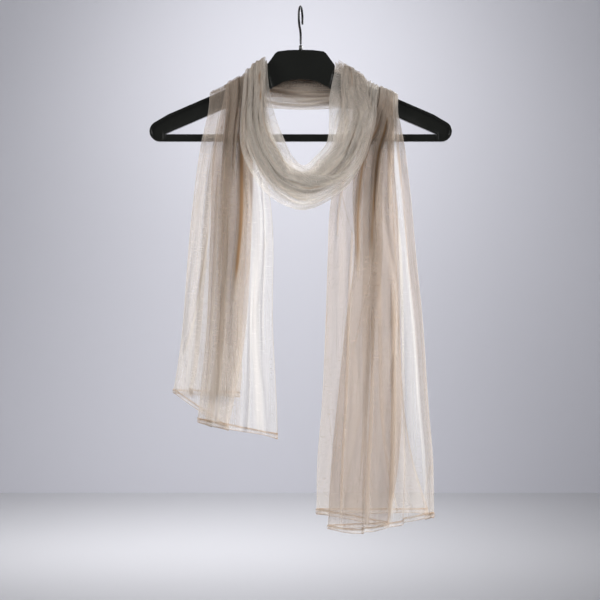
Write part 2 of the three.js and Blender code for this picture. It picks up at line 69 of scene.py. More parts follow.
# ------------------------------------------------------------------ the folded band
# The scarf is gathered across its width into five layers between six fold lines. A row of the tables is
# one section of the band: its inner and outer edge in millimetres, the way its layers face (0 to the
# front, 90 up, 180 to the back), the distance between layers, the places of the fold lines as shares of
# the way from the inner to the outer edge, how far each fold line hangs lower at a hem, and how far the
# second layer's hem hangs below a straight line.
EVEN_HEM = (0, 0, 0, 0, 0, 0)
Row = namedtuple("Row", "inner outer turn pitch folds drops bow", defaults=[EVEN_HEM, 0])
LAYERS = 5
BOWED_LAYER = 1  # the widest layer near the front, whose hem hangs in a curve
BOW_SKEW = 1.6  # above 1, the curve is lowest past its middle
HEM_DEPTH = 6.5  # mm
FLAT_WIDTH, FLAT_LENGTH = 550, 1950  # mm, the panel laid flat

# The hanger's arms, in mm and as a slope.
ARM_HALF_THICKNESS = 6
ARM_SLOPE = 0.4386
ARM_START_X, ARM_START_Z = 47.4, -91.8
CORNER_BULGE = 1.35  # how squarely cloth turns over an arm


def over_arm(x, degrees, lift, fall=10, rise=0):
    """A place on the way over a hanger arm, a small lift clear of the plastic."""
    angle = math.radians(degrees)
    top = math.sin(angle)
    bulge = max(-1.0, min(1.0, math.cos(angle) * CORNER_BULGE))
    arm = ARM_START_Z - (abs(x) - ARM_START_X) * ARM_SLOPE
    z = arm + top * lift + top * top * rise - (1 - top) ** 3 * fall
    return (x, -bulge * (ARM_HALF_THICKNESS + lift), z)


def arm_row(inner_x, outer_x, turn, lift, pitch, folds, fall=10, rises=(0, 0)):
    """A row over an arm; rises are how much higher its inner and outer edges stand."""
    inner = over_arm(inner_x, turn, lift, fall, rises[0])
    outer = over_arm(outer_x, turn, lift, fall, rises[1])
    return Row(inner, outer, turn, pitch, folds)


TAIL_LEFT = [
    Row(
        (-33, -13, -618.5), (-184, -13, -554.5), 0, 5,
        (0, 0.763, 0.473, 1, 0.367, 0.6), (0, 26, 20, 0, -35, -22),
    ),
    Row((-35, -13, -560), (-178, -13, -520), 0, 5, (0, 0.75, 0.4, 1, 0.35, 0.61), (0, 8, 6, 0, -8, -5)),
    Row((-40, -13, -455), (-170, -13, -455), 0, 5, (0, 0.73, 0.29, 1, 0.34, 0.62)),
    Row((-40, -13, -323), (-160, -13, -323), 0, 4.6, (0, 0.75, 0.255, 1, 0.315, 0.64)),
    Row((-52, -12, -215), (-147, -12, -215), 0, 3.5, (0, 0.78, 0.18, 1, 0.24, 0.62)),
    arm_row(-55, -134, 0, 3, 2.1, (0, 0.74, 0.18, 1, 0.24, 0.58), fall=22),
    arm_row(-55, -131, 45, 2.6, 1.8, (0, 0.64, 0.17, 1, 0.22, 0.48), rises=(0, -1.5)),
    arm_row(-55, -129, 90, 2.4, 1.65, (0, 0.56, 0.16, 1, 0.2, 0.4), rises=(0, -2.8)),
]
BACK_UNDER = [
    arm_row(-54, -126, 135, 2.6, 1.8, (0, 0.6, 0.17, 1, 0.22, 0.46), fall=4, rises=(0, -1.5)),
    Row((-50, 9, -90), (-110, 9, -142), 180, 2.5, (0, 0.7, 0.17, 1, 0.23, 0.62)),
    Row((-36, 9, -75), (-71, 9, -143), 180, 2.6, (0, 0.76, 0.15, 1, 0.23, 0.68)),
    Row((-1, 9, -73), (-1, 9, -147), 180, 2.7, (0, 0.76, 0.15, 1, 0.23, 0.66)),
    Row((34, 9, -75), (53, 9, -145), 180, 2.7, (0.1, 0.77, 0.14, 1, 0.2, 0.65)),
    Row((48, 9, -82), (89, 9, -140), 180, 2.4, (0.2, 0.76, 0.1, 1, 0.08, 0.64)),
    arm_row(51, 110, 135, 2.6, 2, (0.18, 0.6, 0.06, 1, 0, 0.52), fall=4, rises=(8, -1)),
    arm_row(49.8, 112.4, 90, 2.4, 1.75, (0.02, 0.5, 0.04, 1, 0, 0.44), rises=(10, -2)),
]
COWL = [
    arm_row(50.4, 112, 45, 2.8, 2, (0.24, 0.66, 0.1, 1, 0, 0.58), rises=(6, 0)),
    Row((45, -9.5, -112), (110, -10, -137), 0, 2.6, (0.42, 0.84, 0.2, 1, 0, 0.74)),
    Row((41, -14, -138), (109, -26, -162), 0, 3, (0.64, 0.93, 0.28, 1, 0, 0.8)),
    Row((41, -20, -165), (101, -35, -197), 0, 3.4, (0.8, 0.95, 0.22, 1, 0, 0.76)),
    Row((38, -27, -197), (87, -40, -233), 0, 3.8, (0.82, 0.95, 0.12, 1, 0, 0.7)),
    Row((23, -33, -217), (58, -42, -271), 0, 4, (0.56, 0.88, 0.1, 1, 0, 0.66)),
    Row((4, -36, -232), (6, -42, -297), 0, 4, (0.06, 0.78, 0.14, 1, 0, 0.64)),
    Row((-13, -36, -217), (-42, -41, -279), 0, 4, (0.14, 0.8, 0.2, 1, 0, 0.66)),
    Row((-25, -33, -191), (-72, -39, -241), 0, 3.8, (0.18, 0.84, 0.24, 1, 0, 0.68)),
    Row((-36, -28, -162), (-86, -35, -206), 0, 3.4, (0.16, 0.86, 0.24, 1, 0, 0.7)),
    Row((-43, -22.5, -133), (-87, -28.5, -168), 0, 2.8, (0.12, 0.9, 0.2, 1, 0, 0.71)),
    Row((-47, -19.5, -106), (-84, -21.5, -131), 0, 2.2, (0.1, 0.76, 0.18, 1, 0, 0.62)),
    arm_row(-48, -80, 45, 12.4, 1.8, (0.08, 0.64, 0.16, 1, 0, 0.54), fall=4, rises=(2, -2)),
    arm_row(-48.6, -77, 90, 11.2, 1.6, (0.08, 0.55, 0.16, 1, 0, 0.48), rises=(3, -2)),
]
BACK_OVER = [
    arm_row(-48, -73, 135, 13.5, 1.8, (0.08, 0.66, 0.16, 1, 0, 0.56), fall=4, rises=(2, -1)),
    Row((-31, 24.5, -74), (-50, 24.5, -124), 180, 2.6, (0.05, 0.82, 0.15, 1, 0, 0.72)),
    Row((2, 25, -73), (-2, 25, -138), 180, 2.8, (0.1, 0.84, 0.14, 1, 0, 0.7)),
    Row((52, 25, -82), (48, 25, -143), 180, 2.7, (0.25, 0.9, 0.15, 0.96, 0, 0.72)),
    Row((88, 24, -99), (90, 24, -150), 175, 2.5, (0.4, 0.96, 0.17, 0.92, 0, 0.75)),
    Row((109, 16, -113), (125, 17, -148), 160, 2.3, (0.55, 1, 0.19, 0.88, 0, 0.78)),
    arm_row(112, 137, 130, 2.8, 1.8, (0.54, 1, 0.14, 0.7, 0, 0.44), fall=4, rises=(0, -5)),
    arm_row(111, 138, 90, 2.4, 1.6, (0.5, 1, 0.12, 0.62, 0, 0.26), rises=(0, -6.8)),
]
TAIL_RIGHT = [
    arm_row(110, 139, 45, 2.8, 1.8, (0.58, 1, 0.14, 0.7, 0, 0.48), rises=(0, -5)),
    arm_row(107, 141, 0, 3, 2.2, (0.68, 1, 0.18, 0.76, 0, 0.66), fall=20),
    Row((90, -10, -175), (146, -10, -178), 0, 2.6, (0.8, 1, 0.2, 0.8, 0, 0.73)),
    Row((60, -12, -215), (152, -12, -215), 0, 3.2, (0.86, 1, 0.3, 0.81, 0, 0.75)),
    Row((43, -13, -287), (160, -13, -287), 0, 4.2, (0.89, 1, 0.3, 0.82, 0, 0.775)),
    Row((39, -13, -367), (167, -13, -367), 0, 4.8, (0.9, 1, 0.3, 0.8, 0, 0.78)),
    Row((36, -13, -455), (176, -13, -455), 0, 5, (0.91, 1, 0.21, 0.77, 0, 0.76)),
    Row((31, -13, -571), (184, -13, -571), 0, 5, (0.92, 1, 0.145, 0.75, 0, 0.77)),
    Row((24, -13, -659), (191, -13, -659), 0, 5, (0.93, 1, 0.122, 0.7, 0, 0.834), (1, 0, 6, 5, 0, -1), 3),
    Row(
        (23, -13, -728.5), (192, -13, -732.5), 0, 5,
        (0.93, 1, 0.095, 0.62, 0, 0.957), (3, 0, 22, 16, 0, -4), 11,
    ),
]
STRETCHES = {
    "tail_left": TAIL_LEFT,
    "back_under": BACK_UNDER,
    "cowl": COWL,
    "back_over": BACK_OVER,
    "tail_right": TAIL_RIGHT,
}
BAND = [section for rows in STRETCHES.values() for section in rows]

# Main creases of each stretch, each a trough with a small ridge beside it, or a ridge alone, running along
# the band: where it starts and ends along the stretch, its places across from start to end (evenly
# spaced), its depth (below 0) or height and its half width in mm, how many more cloths lie tucked in it,
# which closes the weave and also paints shade into the crease, and the layers that it shapes (0 outermost).
ALL_LAYERS = (0, 1, 2, 3, 4)
UNDER = (1, 2, 3, 4)
Crease = namedtuple("Crease", "start end shares depth half_width tucked layers", defaults=[ALL_LAYERS])
CREASE_ROWS = {
    "tail_left": [
        (0.30, 0.72, (0.45, 0.385, 0.345, 0.335), -4.5, 3.8, 6.8),
        (0.10, 0.95, (0.50, 0.50, 0.52), 3.0, 6.0, 0.0),
        (0.40, 1.20, (0.62, 0.60, 0.56, 0.50), -3.0, 2.2, 1.2),
        (0.45, 1.20, (0.48, 0.44, 0.38, 0.32), -3.0, 2.0, 1.2),
        (0.55, 1.20, (0.18, 0.16, 0.14, 0.12), -3.0, 2.0, 1.1),
        (0.16, 0.46, (0.98, 0.86, 0.76), -1.6, 1.5, 1.8, (2, 3)),
        (0.20, 0.62, (0.12, 0.10, 0.07), -1.8, 1.6, 1.4),
        (-0.10, 0.40, (0.30, 0.27, 0.24), -2.0, 2.0, 1.2),
        (-0.20, 0.55, (0.58, 0.57, 0.56), -1.8, 2.6, 0.8),
        (0.00, 0.60, (0.70, 0.68, 0.69), -1.6, 2.0, 0.7),
        (-0.10, 0.80, (0.17, 0.20, 0.22), 0.6, 9.0, 1.2),
    ],
    "back_under": [  # behind the neck, seen under the neck block
        (0.28, 0.72, (0.48, 0.58, 0.68, 0.70, 0.66), -4.5, 2.6, 2.2),
        (0.26, 0.72, (0.72, 0.79, 0.90, 0.90, 0.80, 0.66), -4.5, 2.4, 2.4),
        (0.45, 0.74, (0.86, 0.80, 0.75, 0.64), -3.5, 2.2, 1.6),
        (-0.20, 0.40, (0.25, 0.30, 0.42), -3.0, 2.4, 1.4),
        (0.60, 1.20, (0.62, 0.50, 0.40), -3.0, 2.4, 1.4),
        (0.10, 0.90, (0.22, 0.30, 0.22), -3.0, 2.6, 1.1),
        (0.24, 0.76, (0.86, 0.82, 0.86), 1.0, 5.0, 0.9),
    ],
    "cowl": [
        # right limb of the cowl: folds that run in under the crossing
        (-0.10, 0.34, (0.50, 0.52, 0.56, 0.40, 0.20, 0.10), -5.9, 1.7, 2.7, UNDER),
        (0.02, 0.15, (0.28, 0.32, 0.40, 0.46), -6.5, 2.2, 4.2),
        (-0.10, 0.52, (0.60, 0.72, 0.80, 0.62, 0.48, 0.40), -6.5, 1.9, 3.0, UNDER),
        (-0.05, 0.50, (0.78, 0.84, 0.88, 0.76, 0.66, 0.55), -5.9, 1.7, 3.4, UNDER),
        (-0.05, 0.44, (0.16, 0.22, 0.30, 0.42, 0.30), -4.5, 1.7, 1.9, UNDER),
        (0.24, 0.44, (0.66, 0.60, 0.46, 0.34), -3.9, 1.5, 2.3, UNDER),
        (-0.15, 0.22, (0.90, 0.90, 0.94), -3.9, 1.5, 1.9),
        # left limb and the bottom: folds that sweep down and across in front
        (0.34, 1.05, (0.95, 0.66, 0.46, 0.47, 0.44, 0.40, 0.30, 0.25), -6.5, 2.0, 3.0),
        (0.36, 1.05, (0.96, 0.86, 0.68, 0.62, 0.60, 0.56, 0.50, 0.45), -6.5, 2.0, 2.7),
        (0.38, 1.00, (0.90, 0.55, 0.26, 0.30, 0.32, 0.30, 0.24), -6.5, 1.8, 3.6),
        (0.40, 0.80, (0.98, 0.86, 0.78, 0.76, 0.80), -4.5, 1.9, 1.5),
        (0.62, 1.15, (0.84, 0.80, 0.78, 0.76), -5.2, 1.9, 2.7),
        (0.78, 0.90, (0.34, 0.30, 0.28), -6.5, 2.2, 4.2),
        (0.70, 1.10, (0.66, 0.70, 0.66, 0.60), -4.5, 1.7, 2.3),
        (0.45, 0.62, (0.92, 0.90, 0.92), 2.6, 3.0, 0.0),
    ],
    "back_over": [  # behind the neck, outside
        (-0.10, 1.10, (0.30, 0.34, 0.46, 0.50, 0.60), -4.0, 2.6, 1.6),
        (0.05, 0.85, (0.62, 0.72, 0.66, 0.60), -3.5, 2.4, 1.6),
        (0.10, 0.95, (0.16, 0.20, 0.30, 0.40), -3.5, 2.4, 1.4),
        (-0.10, 0.60, (0.50, 0.55, 0.84), -3.0, 2.2, 1.4),
        (0.05, 0.95, (0.80, 0.84, 0.82), 1.2, 5.0, 0.9),
        (0.20, 0.90, (0.86, 0.93, 0.90), -2.5, 1.8, 1.6),
    ],
    "tail_right": [
        (0.22, 0.66, (0.40, 0.36, 0.345, 0.34), -4.5, 3.0, 4.1),
        (0.20, 0.64, (0.60, 0.58, 0.56, 0.52, 0.48), -4.5, 3.2, 4.9),
        (0.05, 0.56, (0.34, 0.70, 0.74, 0.72), -3.0, 2.2, 1.4),
        (0.05, 0.50, (0.80, 0.86, 0.88, 0.88), -2.4, 1.8, 1.2),
        (0.30, 0.95, (0.66, 0.64, 0.66, 0.68), 3.0, 7.0, 0.0),
        (0.60, 1.10, (0.72, 0.68, 0.64, 0.60), -3.5, 3.0, 2.2),
        (0.62, 1.20, (0.50, 0.46, 0.42, 0.40), -2.2, 2.6, 1.1),
        (0.48, 1.05, (0.30, 0.24, 0.22, 0.20), -2.2, 2.2, 1.1),
        (0.24, 0.60, (0.12, 0.12, 0.10), -1.6, 1.6, 1.4),
        (0.45, 1.05, (0.90, 0.89, 0.91, 0.93), -1.6, 1.8, 0.9),
    ],
}
CREASES = [(name, Crease(*values)) for name, rows in CREASE_ROWS.items() for values in rows]
CREASE_FADE = 5  # a crease rises over a fifth of its length at each end
RIDGE_SHARE = 0.55  # height of the ridge beside a trough, as a share of the trough's depth
RIDGE_PLACE = 1.9  # half widths from a trough to its ridge
FULL_CREASE_WIDTH = 60  # mm of band, below which creases are shallower
LEAST_CREASE = 0.35  # share of the depth that they keep

# Tucks of each stretch, where one layer folds back over itself like a soft knife pleat: where the tuck
# starts and ends along the stretch, the layer (0 outermost), its place in the layer at both ends, how far
# it folds back and how high it stands, in mm.
Tuck = namedtuple("Tuck", "start end layer from_part to_part depth lift")
TUCK_ROWS = {
    "tail_left": [
        (-0.30, 0.55, 1, 0.30, 0.42, 7, 1.6),
        (0.35, 1.40, 0, 0.42, 0.40, 9, 2.4),
        (0.20, 1.40, 2, 0.50, 0.45, 10, 1.2),
        (-0.30, 1.30, 3, 0.66, 0.60, 9, 1.4),
        (-0.30, 0.80, 3, 0.24, 0.28, 7, 1.2),
        (0.45, 1.40, 4, 0.55, 0.50, 7, 1.0),
    ],
    "back_under": [
        (-0.40, 1.40, 0, 0.50, 0.45, 10, 1.2),
        (-0.30, 1.30, 1, 0.60, 0.55, 9, 0.8),
        (-0.40, 1.40, 2, 0.45, 0.50, 12, 0.8),
        (-0.40, 1.40, 3, 0.65, 0.60, 11, 0.8),
        (-0.20, 1.20, 4, 0.50, 0.50, 9, 0.6),
    ],
    "cowl": [
        (-0.30, 0.50, 1, 0.30, 0.34, 12, 1.6),
        (-0.10, 0.62, 1, 0.68, 0.62, 10, 1.6),
        (0.25, 1.20, 0, 0.36, 0.42, 11, 2.6),
        (0.45, 1.30, 0, 0.74, 0.72, 9, 2.4),
        (0.42, 1.30, 1, 0.50, 0.48, 11, 1.2),
        (-0.20, 1.20, 2, 0.50, 0.50, 12, 1.0),
        (-0.20, 1.20, 3, 0.35, 0.38, 11, 1.0),
        (0.10, 1.30, 3, 0.72, 0.70, 10, 1.0),
        (-0.20, 0.80, 4, 0.40, 0.46, 11, 0.8),
    ],
    "back_over": [
        (-0.40, 1.20, 0, 0.36, 0.40, 11, 2.0),
        (0.00, 1.30, 1, 0.55, 0.50, 12, 1.2),
        (-0.30, 1.30, 2, 0.45, 0.50, 12, 1.0),
        (-0.30, 1.30, 3, 0.60, 0.50, 12, 1.0),
        (-0.30, 1.30, 4, 0.50, 0.45, 11, 0.8),
    ],
    "tail_right": [
        (-0.40, 0.62, 1, 0.36, 0.32, 9, 1.8),
        (0.25, 1.30, 1, 0.72, 0.66, 7, 1.8),
        (0.30, 1.20, 1, 0.22, 0.30, 6, 1.6),
        (-0.30, 0.90, 2, 0.50, 0.52, 11, 1.2),
        (-0.30, 1.10, 3, 0.42, 0.46, 10, 1.2),
        (-0.30, 0.70, 4, 0.34, 0.40, 10, 1.0),
        (0.10, 1.30, 4, 0.76, 0.70, 7, 1.0),
    ],
}
TUCKS = [(name, Tuck(*values)) for name, rows in TUCK_ROWS.items() for values in rows]
TUCK_FADE = 3.5  # a tuck rises over 1 / 3.5 of its length at each end
TUCK_REACH = 0.13  # share of a layer on each side of a tuck's middle that goes into it
DEEPEST_TUCK = 0.45  # share of a layer's width
FULL_TUCK_PITCH = 3  # mm between layers, below which tucks are lower

# Gathers: uneven ridges that all layers share, running the whole length and drawing together where the
# band is narrow. Their height in mm at the start, middle and end of each stretch.
GATHERS = {
    "tail_left": (2.2, 3.2, 1.4),
    "back_under": (1.4, 2.4, 1.4),
    "cowl": (1.4, 3.2, 1.4),
    "back_over": (1.4, 3.4, 1.4),
    "tail_right": (1.4, 3.2, 2.2),
}
GATHER_LINES = 9
RIDGE_HALF_WIDTHS = (0.6, 4.5)  # mm, least and most
FULL_RIDGE_SPACING = 2.5  # mm between ridges, below which they are lower

# Strength of the painted shade where the folded layers lie stacked, at the start, middle and end of each
# stretch:
# 0 for none, 1 for layers that hang flat, and more where the stack is painted darker still, as near the
# shoulders.
PAINTED_STACK_SHADE = {
    "tail_left": (0.4, 1.05, 2.9),
    "back_under": (2.9, 0.7, 0.7),
    "cowl": (0.6, 0.0, 0.6),
    "back_over": (0.6, 0.8, 0.15),
    "tail_right": (0.0, 2.5, 0.8),
}
LAYER_EDGE = 2.0  # mm over which the shade of a layer fades at its fold line
CLEARANCE = 1.6  # mm that no crease may sink below, where the cloth lies against the hanger
DRAWN_TIGHT = 0.9  # share of the relief that is pulled flat where the band turns over an arm
TIGHT_TURN = 38  # degrees of turn to each side of the top over which that fades

CRINKLES = ((36, 1.3), (19, 1.0), (11, 0.9))  # spacing of the crushed pleats and their height, in mm
CRINKLE_LENGTH = 110  # mm from one swelling of a pleat to the next
CRINKLE_SEED = 7
SPACING_ALONG = 9.6  # mm between sections of the mesh
LEAST_SECTIONS = 3  # in each row of the tables
LAYER_COLUMNS = (100, 72, 80, 92, 72)
BEND_COLUMNS = 4
MOST_GATHERED = 3  # cloths' worth of threads drawn together across the whole band
STEEPEST = 2.6  # how many times closer threads may look where a fold stands on edge

# The gauze's patterns: how many mm a spot measures across and along the cloth, and the noise's detail and
# roughness. The threads themselves are too fine to show, so streaks and slubs are drawn coarser.
GAUZE_PATTERNS = {
    "bands": (20, 320, 2.0, 0.5),
    "streaks": (3.0, 110, 2.0, 0.6),
    "slubs": (14, 1.6, 2.0, 0.6),
    "ripples": (16, 2.2, 1.0, 0.5),
    "damp patches": (30, 45, 1.0, 0.5),
    "thin creases": (19, 420, 0.0, 0.5),
    "creased spots": (60, 150, 1.0, 0.5),
}

# Widths in mm of the spots of noise on the other finishes.
GRAIN_SIZE = 2.0  # uneven threads in the hem, drawn coarser than they are so that they show
PATCH_SIZE = 16.7  # darker stretches of the hem
TWIST_SIZE = 0.4  # plies of the sewing thread
PEEL_SIZE = 2.38  # orange-peel skin of the plastic
HAZE_SIZE = 28.6  # where hands have dulled it
WEAR_SIZE = 3.33  # worn spots of the lacquer
SAME_POINT = 0.02 * MM  # distance inside which two corners of a CAD node are one


def stretch_ends(stretch):
    """The rows where a stretch starts and ends: it starts at the last row of the one before."""
    names = list(STRETCHES)
    before = sum(len(STRETCHES[name]) for name in names[: names.index(stretch)])
    return max(0, before - 1), before + len(STRETCHES[stretch]) - 1


def hermite(values, places):
    """Values of a table of rows at any places along it, on one smooth curve."""
    values = np.asarray(values, float)
    last = len(values) - 1
    index = np.clip(np.floor(places).astype(int), 0, last - 1)
    t = (places - index).reshape((-1,) + (1,) * (values.ndim - 1))
    a, b, c, d = (values[np.clip(index + k, 0, last)] for k in (-1, 0, 1, 2))
    slope_b, slope_c = (c - a) / 2, (d - b) / 2
    t2, t3 = t**2, t**3
    ends = (2 * t3 - 3 * t2 + 1) * b + (t3 - 2 * t2 + t) * slope_b
    return ends + (3 * t2 - 2 * t3) * c + (t3 - t2) * slope_c


def across_rows(values, places):
    """Like hermite, but along each row of a table, at its own places."""
    last = values.shape[1] - 1
    places = np.clip(places, 0, last)
    index = np.minimum(places.astype(int), last - 1)
    t = places - index
    a, b, c, d = (np.take_along_axis(values, np.clip(index + k, 0, last), 1) for k in (-1, 0, 1, 2))
    return b + t * ((c - a) / 2 + t * (a - 2.5 * b + 2 * c - d / 2 + t * (1.5 * (b - c) + (d - a) / 2)))


def unit(vectors):
    """The vectors at length 1."""
    return vectors / np.linalg.norm(vectors, axis=-1, keepdims=True)


def smooth_step(values):
    """0 to 1 with a soft start and end."""
    values = np.clip(values, 0, 1)
    return values * values * (3 - 2 * values)


def smooth_noise(rng, count, knots):
    """A wandering value along a line, worked out from a few random ones."""
    values = rng.normal(size=max(4, knots))
    return hermite(values, np.linspace(0, len(values) - 1, count))


class Band:
    """The folded band's sections at every place along it, ready to be laid out as cloth."""

    def __init__(self, spacing):
        middle = np.array([(np.array(r.inner) + np.array(r.outer)) / 2 for r in BAND])
        steps = np.linalg.norm(np.diff(middle, axis=0), axis=1)
        counts = np.maximum(LEAST_SECTIONS, np.round(steps / spacing)).astype(int)
        places = [i + np.arange(n) / n for i, n in enumerate(counts)]
        self.places = np.append(np.concatenate(places), len(BAND) - 1)
        self.inner = hermite([r.inner for r in BAND], self.places)
        self.outer = hermite([r.outer for r in BAND], self.places)
        self.turn = np.radians(hermite([r.turn for r in BAND], self.places))
        self.pitch = hermite([r.pitch for r in BAND], self.places)
        self.folds = np.clip(hermite([r.folds for r in BAND], self.places), 0, 1)
        self.drops = hermite([r.drops for r in BAND], self.places)
        self.bow = hermite([r.bow for r in BAND], self.places)
        self.across = self.outer - self.inner
        self.width = np.linalg.norm(self.across, axis=1)
        self.across = unit(self.across)
        up = np.stack([-self.across[:, 2], 0 * self.width, self.across[:, 0]], axis=1)
        up = unit(up + 1e-9)
        up[up[:, 2] < 0] *= -1
        front = np.array([0.0, -1.0, 0.0])
        self.stack = unit(front * np.cos(self.turn)[:, None] + up * np.sin(self.turn)[:, None])
        centre = (self.inner + self.outer) / 2
        lengths = np.linalg.norm(np.diff(centre, axis=0), axis=1)
        self.run = np.concatenate([[0], np.cumsum(lengths)])


def stretch_part(band, stretch, start, end):
    """How far each section is along a part of a stretch: 0 at its start, 1 at its end."""
    first, last = stretch_ends(stretch)
    return ((band.places - first) / (last - first) - start) / (end - start)


def along_band(band, table):
    """A table's values for the start, middle and end of each stretch, spread along the whole band."""
    knots, values = [], []
    for name, three in table.items():
        first, last = stretch_ends(name)
        knots += [first, (first + last) / 2, last]
        values += three
    return np.interp(band.places, knots, values)


def crease_form(band, share, layer_of):
    """How far the main creases lift the cloth at each point of each section, and what is tucked in them,
    which also paints shade there.
    """
    height = np.zeros_like(share)
    tucked = np.zeros_like(share)
    reach = np.clip(band.width[:, None] / FULL_CREASE_WIDTH, LEAST_CREASE, 1)
    for stretch, crease in CREASES:
        along = stretch_part(band, stretch, crease.start, crease.end)
        fade = smooth_step(np.minimum(along, 1 - along) * CREASE_FADE)[:, None]
        last = len(crease.shares) - 1
        line = hermite(crease.shares, np.clip(along, 0, 1) * last)
        distance = (share - line[:, None]) * band.width[:, None] / crease.half_width
        on = fade * np.isin(layer_of, crease.layers)
        form = on * np.exp(-(distance**2))
        ridge = on * np.exp(-((distance - RIDGE_PLACE) ** 2)) if crease.depth < 0 else 0
        height += crease.depth * reach * (form - RIDGE_SHARE * ridge)
        tucked += crease.tucked * form**2
    return height, tucked


def tuck_form(band, layer, part, width):
    """How far the tucks of one layer move its points across and lift them."""
    across = np.zeros((len(band.places), len(part)))
    lift = np.zeros_like(across)
    for stretch, tuck in TUCKS:
        if tuck.layer != layer:
            continue
        along = stretch_part(band, stretch, tuck.start, tuck.end)
        fade = smooth_step(np.minimum(along, 1 - along) * TUCK_FADE)
        place = tuck.from_part + (tuck.to_part - tuck.from_part) * np.clip(along, 0, 1)
        step = (part - place[:, None]) / TUCK_REACH
        window = np.where(np.abs(step) < 1, (1 + np.cos(np.pi * step)) / 2, 0)
        depth = np.minimum(tuck.depth, DEEPEST_TUCK * width) * fade
        across -= depth[:, None] * 1.5 * np.sin(np.pi * step) * window
        lift += (tuck.lift * fade)[:, None] * np.exp(-(((step - 0.4) / 0.6) ** 2))
    return across, lift


def layer_shade(band, share):
    """Painted shade where layers lie stacked: 0 for a single one, 1 for three or more hanging flat, scaled
    per stretch.
    """
    edge = (LAYER_EDGE / band.width)[:, None]
    count = np.zeros_like(share)
    for layer in range(LAYERS):
        ends = np.sort(band.folds[:, layer : layer + 2], axis=1)
        inside = np.minimum(share - ends[:, :1], ends[:, 1:] - share)
        count += smooth_step(0.5 + inside / edge)
    return np.clip((count - 1) / 2, 0, 1) * along_band(band, PAINTED_STACK_SHADE)[:, None]


def gather_height(rng, band, share):
    """Ridges shared by all layers, only ever outward, which wander and fade along the band."""
    size = along_band(band, GATHERS)
    count = len(band.places)
    spacing = band.width / GATHER_LINES
    height = np.zeros_like(share)
    for k in range(GATHER_LINES):
        # each ridge wanders by about half a spacing, and its height comes and goes
        line = (k + 0.5 + 0.55 * smooth_noise(rng, count, 16)) / GATHER_LINES
        strength = smooth_step(0.55 + 0.45 * smooth_noise(rng, count, 22))
        half_width = np.clip(spacing * rng.uniform(0.24, 0.45), *RIDGE_HALF_WIDTHS)
        distance = np.abs((share - line[:, None]) * (band.width / half_width)[:, None])
        ridge = (size * strength * np.minimum(1, spacing / FULL_RIDGE_SPACING))[:, None]
        height += ridge * np.exp(-(distance**1.6))
    return height


def crinkle(rng, band, part, width):
    """Crushed pleats of one layer: they alternate across it, and wander and fade along it."""
    count = len(band.places)
    laid = np.median(width)
    height = np.zeros((count, len(part)))
    for spacing, size in CRINKLES:
        across = max(4, int(2 * laid / spacing))
        along = max(4, int(band.run[-1] / CRINKLE_LENGTH))
        tops = rng.uniform(0.25, 1, (along, across)) * (-1.0) ** np.arange(across)
        tops = hermite(tops, np.linspace(0, along - 1, count))
        wander = 0.8 * smooth_noise(rng, count, along // 2)
        uneven = 0.9 * smooth_noise(rng, len(part), across // 3)
        height += size * across_rows(tops, part * (across - 1) + wander[:, None] + uneven)
    return height * (band.pitch / band.pitch.max())[:, None]


def hem_drop(band, fold):
    """How far each point hangs below the band's own line, by its place in the row of layers."""
    drop = np.empty((len(band.places), len(fold)))
    for column, place in enumerate(fold):
        layer = min(int(place), LAYERS - 1)
        part = place - layer
        drop[:, column] = band.drops[:, layer] * (1 - part) + band.drops[:, layer + 1] * part
        if layer == BOWED_LAYER:
            drop[:, column] += band.bow * math.sin(math.pi * part**BOW_SKEW)
    return drop


def cloth_sections(band):
    """Places across, heights, drops, tucked cloth with its painted crease shade, and layers' painted shade
    of every point of every section.
    """
    rng = np.random.default_rng(CRINKLE_SEED)
    width = band.width
    radius = band.pitch / 2
    places = band.folds * width[:, None]
    loose = 1 - DRAWN_TIGHT * np.exp(-(((np.degrees(band.turn) - 90) / TIGHT_TURN) ** 2))
    tuck_size = (loose * np.minimum(1, band.pitch / FULL_TUCK_PITCH))[:, None]
    across, height, fine, fold = [], [], [], []
    for layer in range(LAYERS):
        way = np.sign(places[:, layer + 1] - places[:, layer])
        level = (LAYERS - 1 - layer) * band.pitch
        start = places[:, layer] + (0 if layer == 0 else way * radius)
        end = places[:, layer + 1] - (0 if layer == LAYERS - 1 else way * radius)
        part = np.linspace(0, 1, LAYER_COLUMNS[layer])
        moved, lifted = tuck_form(band, layer, part, np.abs(end - start))
        across.append(start[:, None] + (end - start)[:, None] * part + way[:, None] * moved)
        height.append(level[:, None] + lifted * tuck_size)
        flatter_at_folds = 0.35 + 0.65 * np.sin(np.pi * part) ** 0.5
        fine.append(crinkle(rng, band, part, np.abs(end - start)) * flatter_at_folds)
        fold.append(layer + part)
        if layer == LAYERS - 1:
            break
        angles = np.pi * np.arange(1, BEND_COLUMNS + 1) / (BEND_COLUMNS + 1)
        across.append(end[:, None] + (way * radius)[:, None] * np.sin(angles))
        height.append(level[:, None] - radius[:, None] * (1 - np.cos(angles)))
        fine.append(np.zeros((len(width), BEND_COLUMNS)))
        fold.append(np.full(BEND_COLUMNS, layer + 1.0))
    across, height, fine, fold = (np.concatenate(parts, axis=-1) for parts in (across, height, fine, fold))
    share = across / width[:, None]
    crease, tucked = crease_form(band, share, np.minimum(fold, LAYERS - 1).astype(int))
    lift = (crease + gather_height(rng, band, share)) * loose[:, None]
    lift = np.logaddexp(0, lift + CLEARANCE) - CLEARANCE
    height = height + lift + fine * loose[:, None]
    return across, height, hem_drop(band, fold), tucked, layer_shade(band, share)


def on_edge(across, steps):
    """How many times closer the threads lie where a fold or a pleat stands on edge in the band."""
    steep = steps / (np.abs(np.diff(across, axis=1)) + 0.15 * steps)
    steep = np.concatenate([steep[:, :1], steep, steep[:, -1:]], axis=1)
    return np.clip(0.5 * (steep[:, :-1] + steep[:, 1:]), 1, STEEPEST) ** 0.6


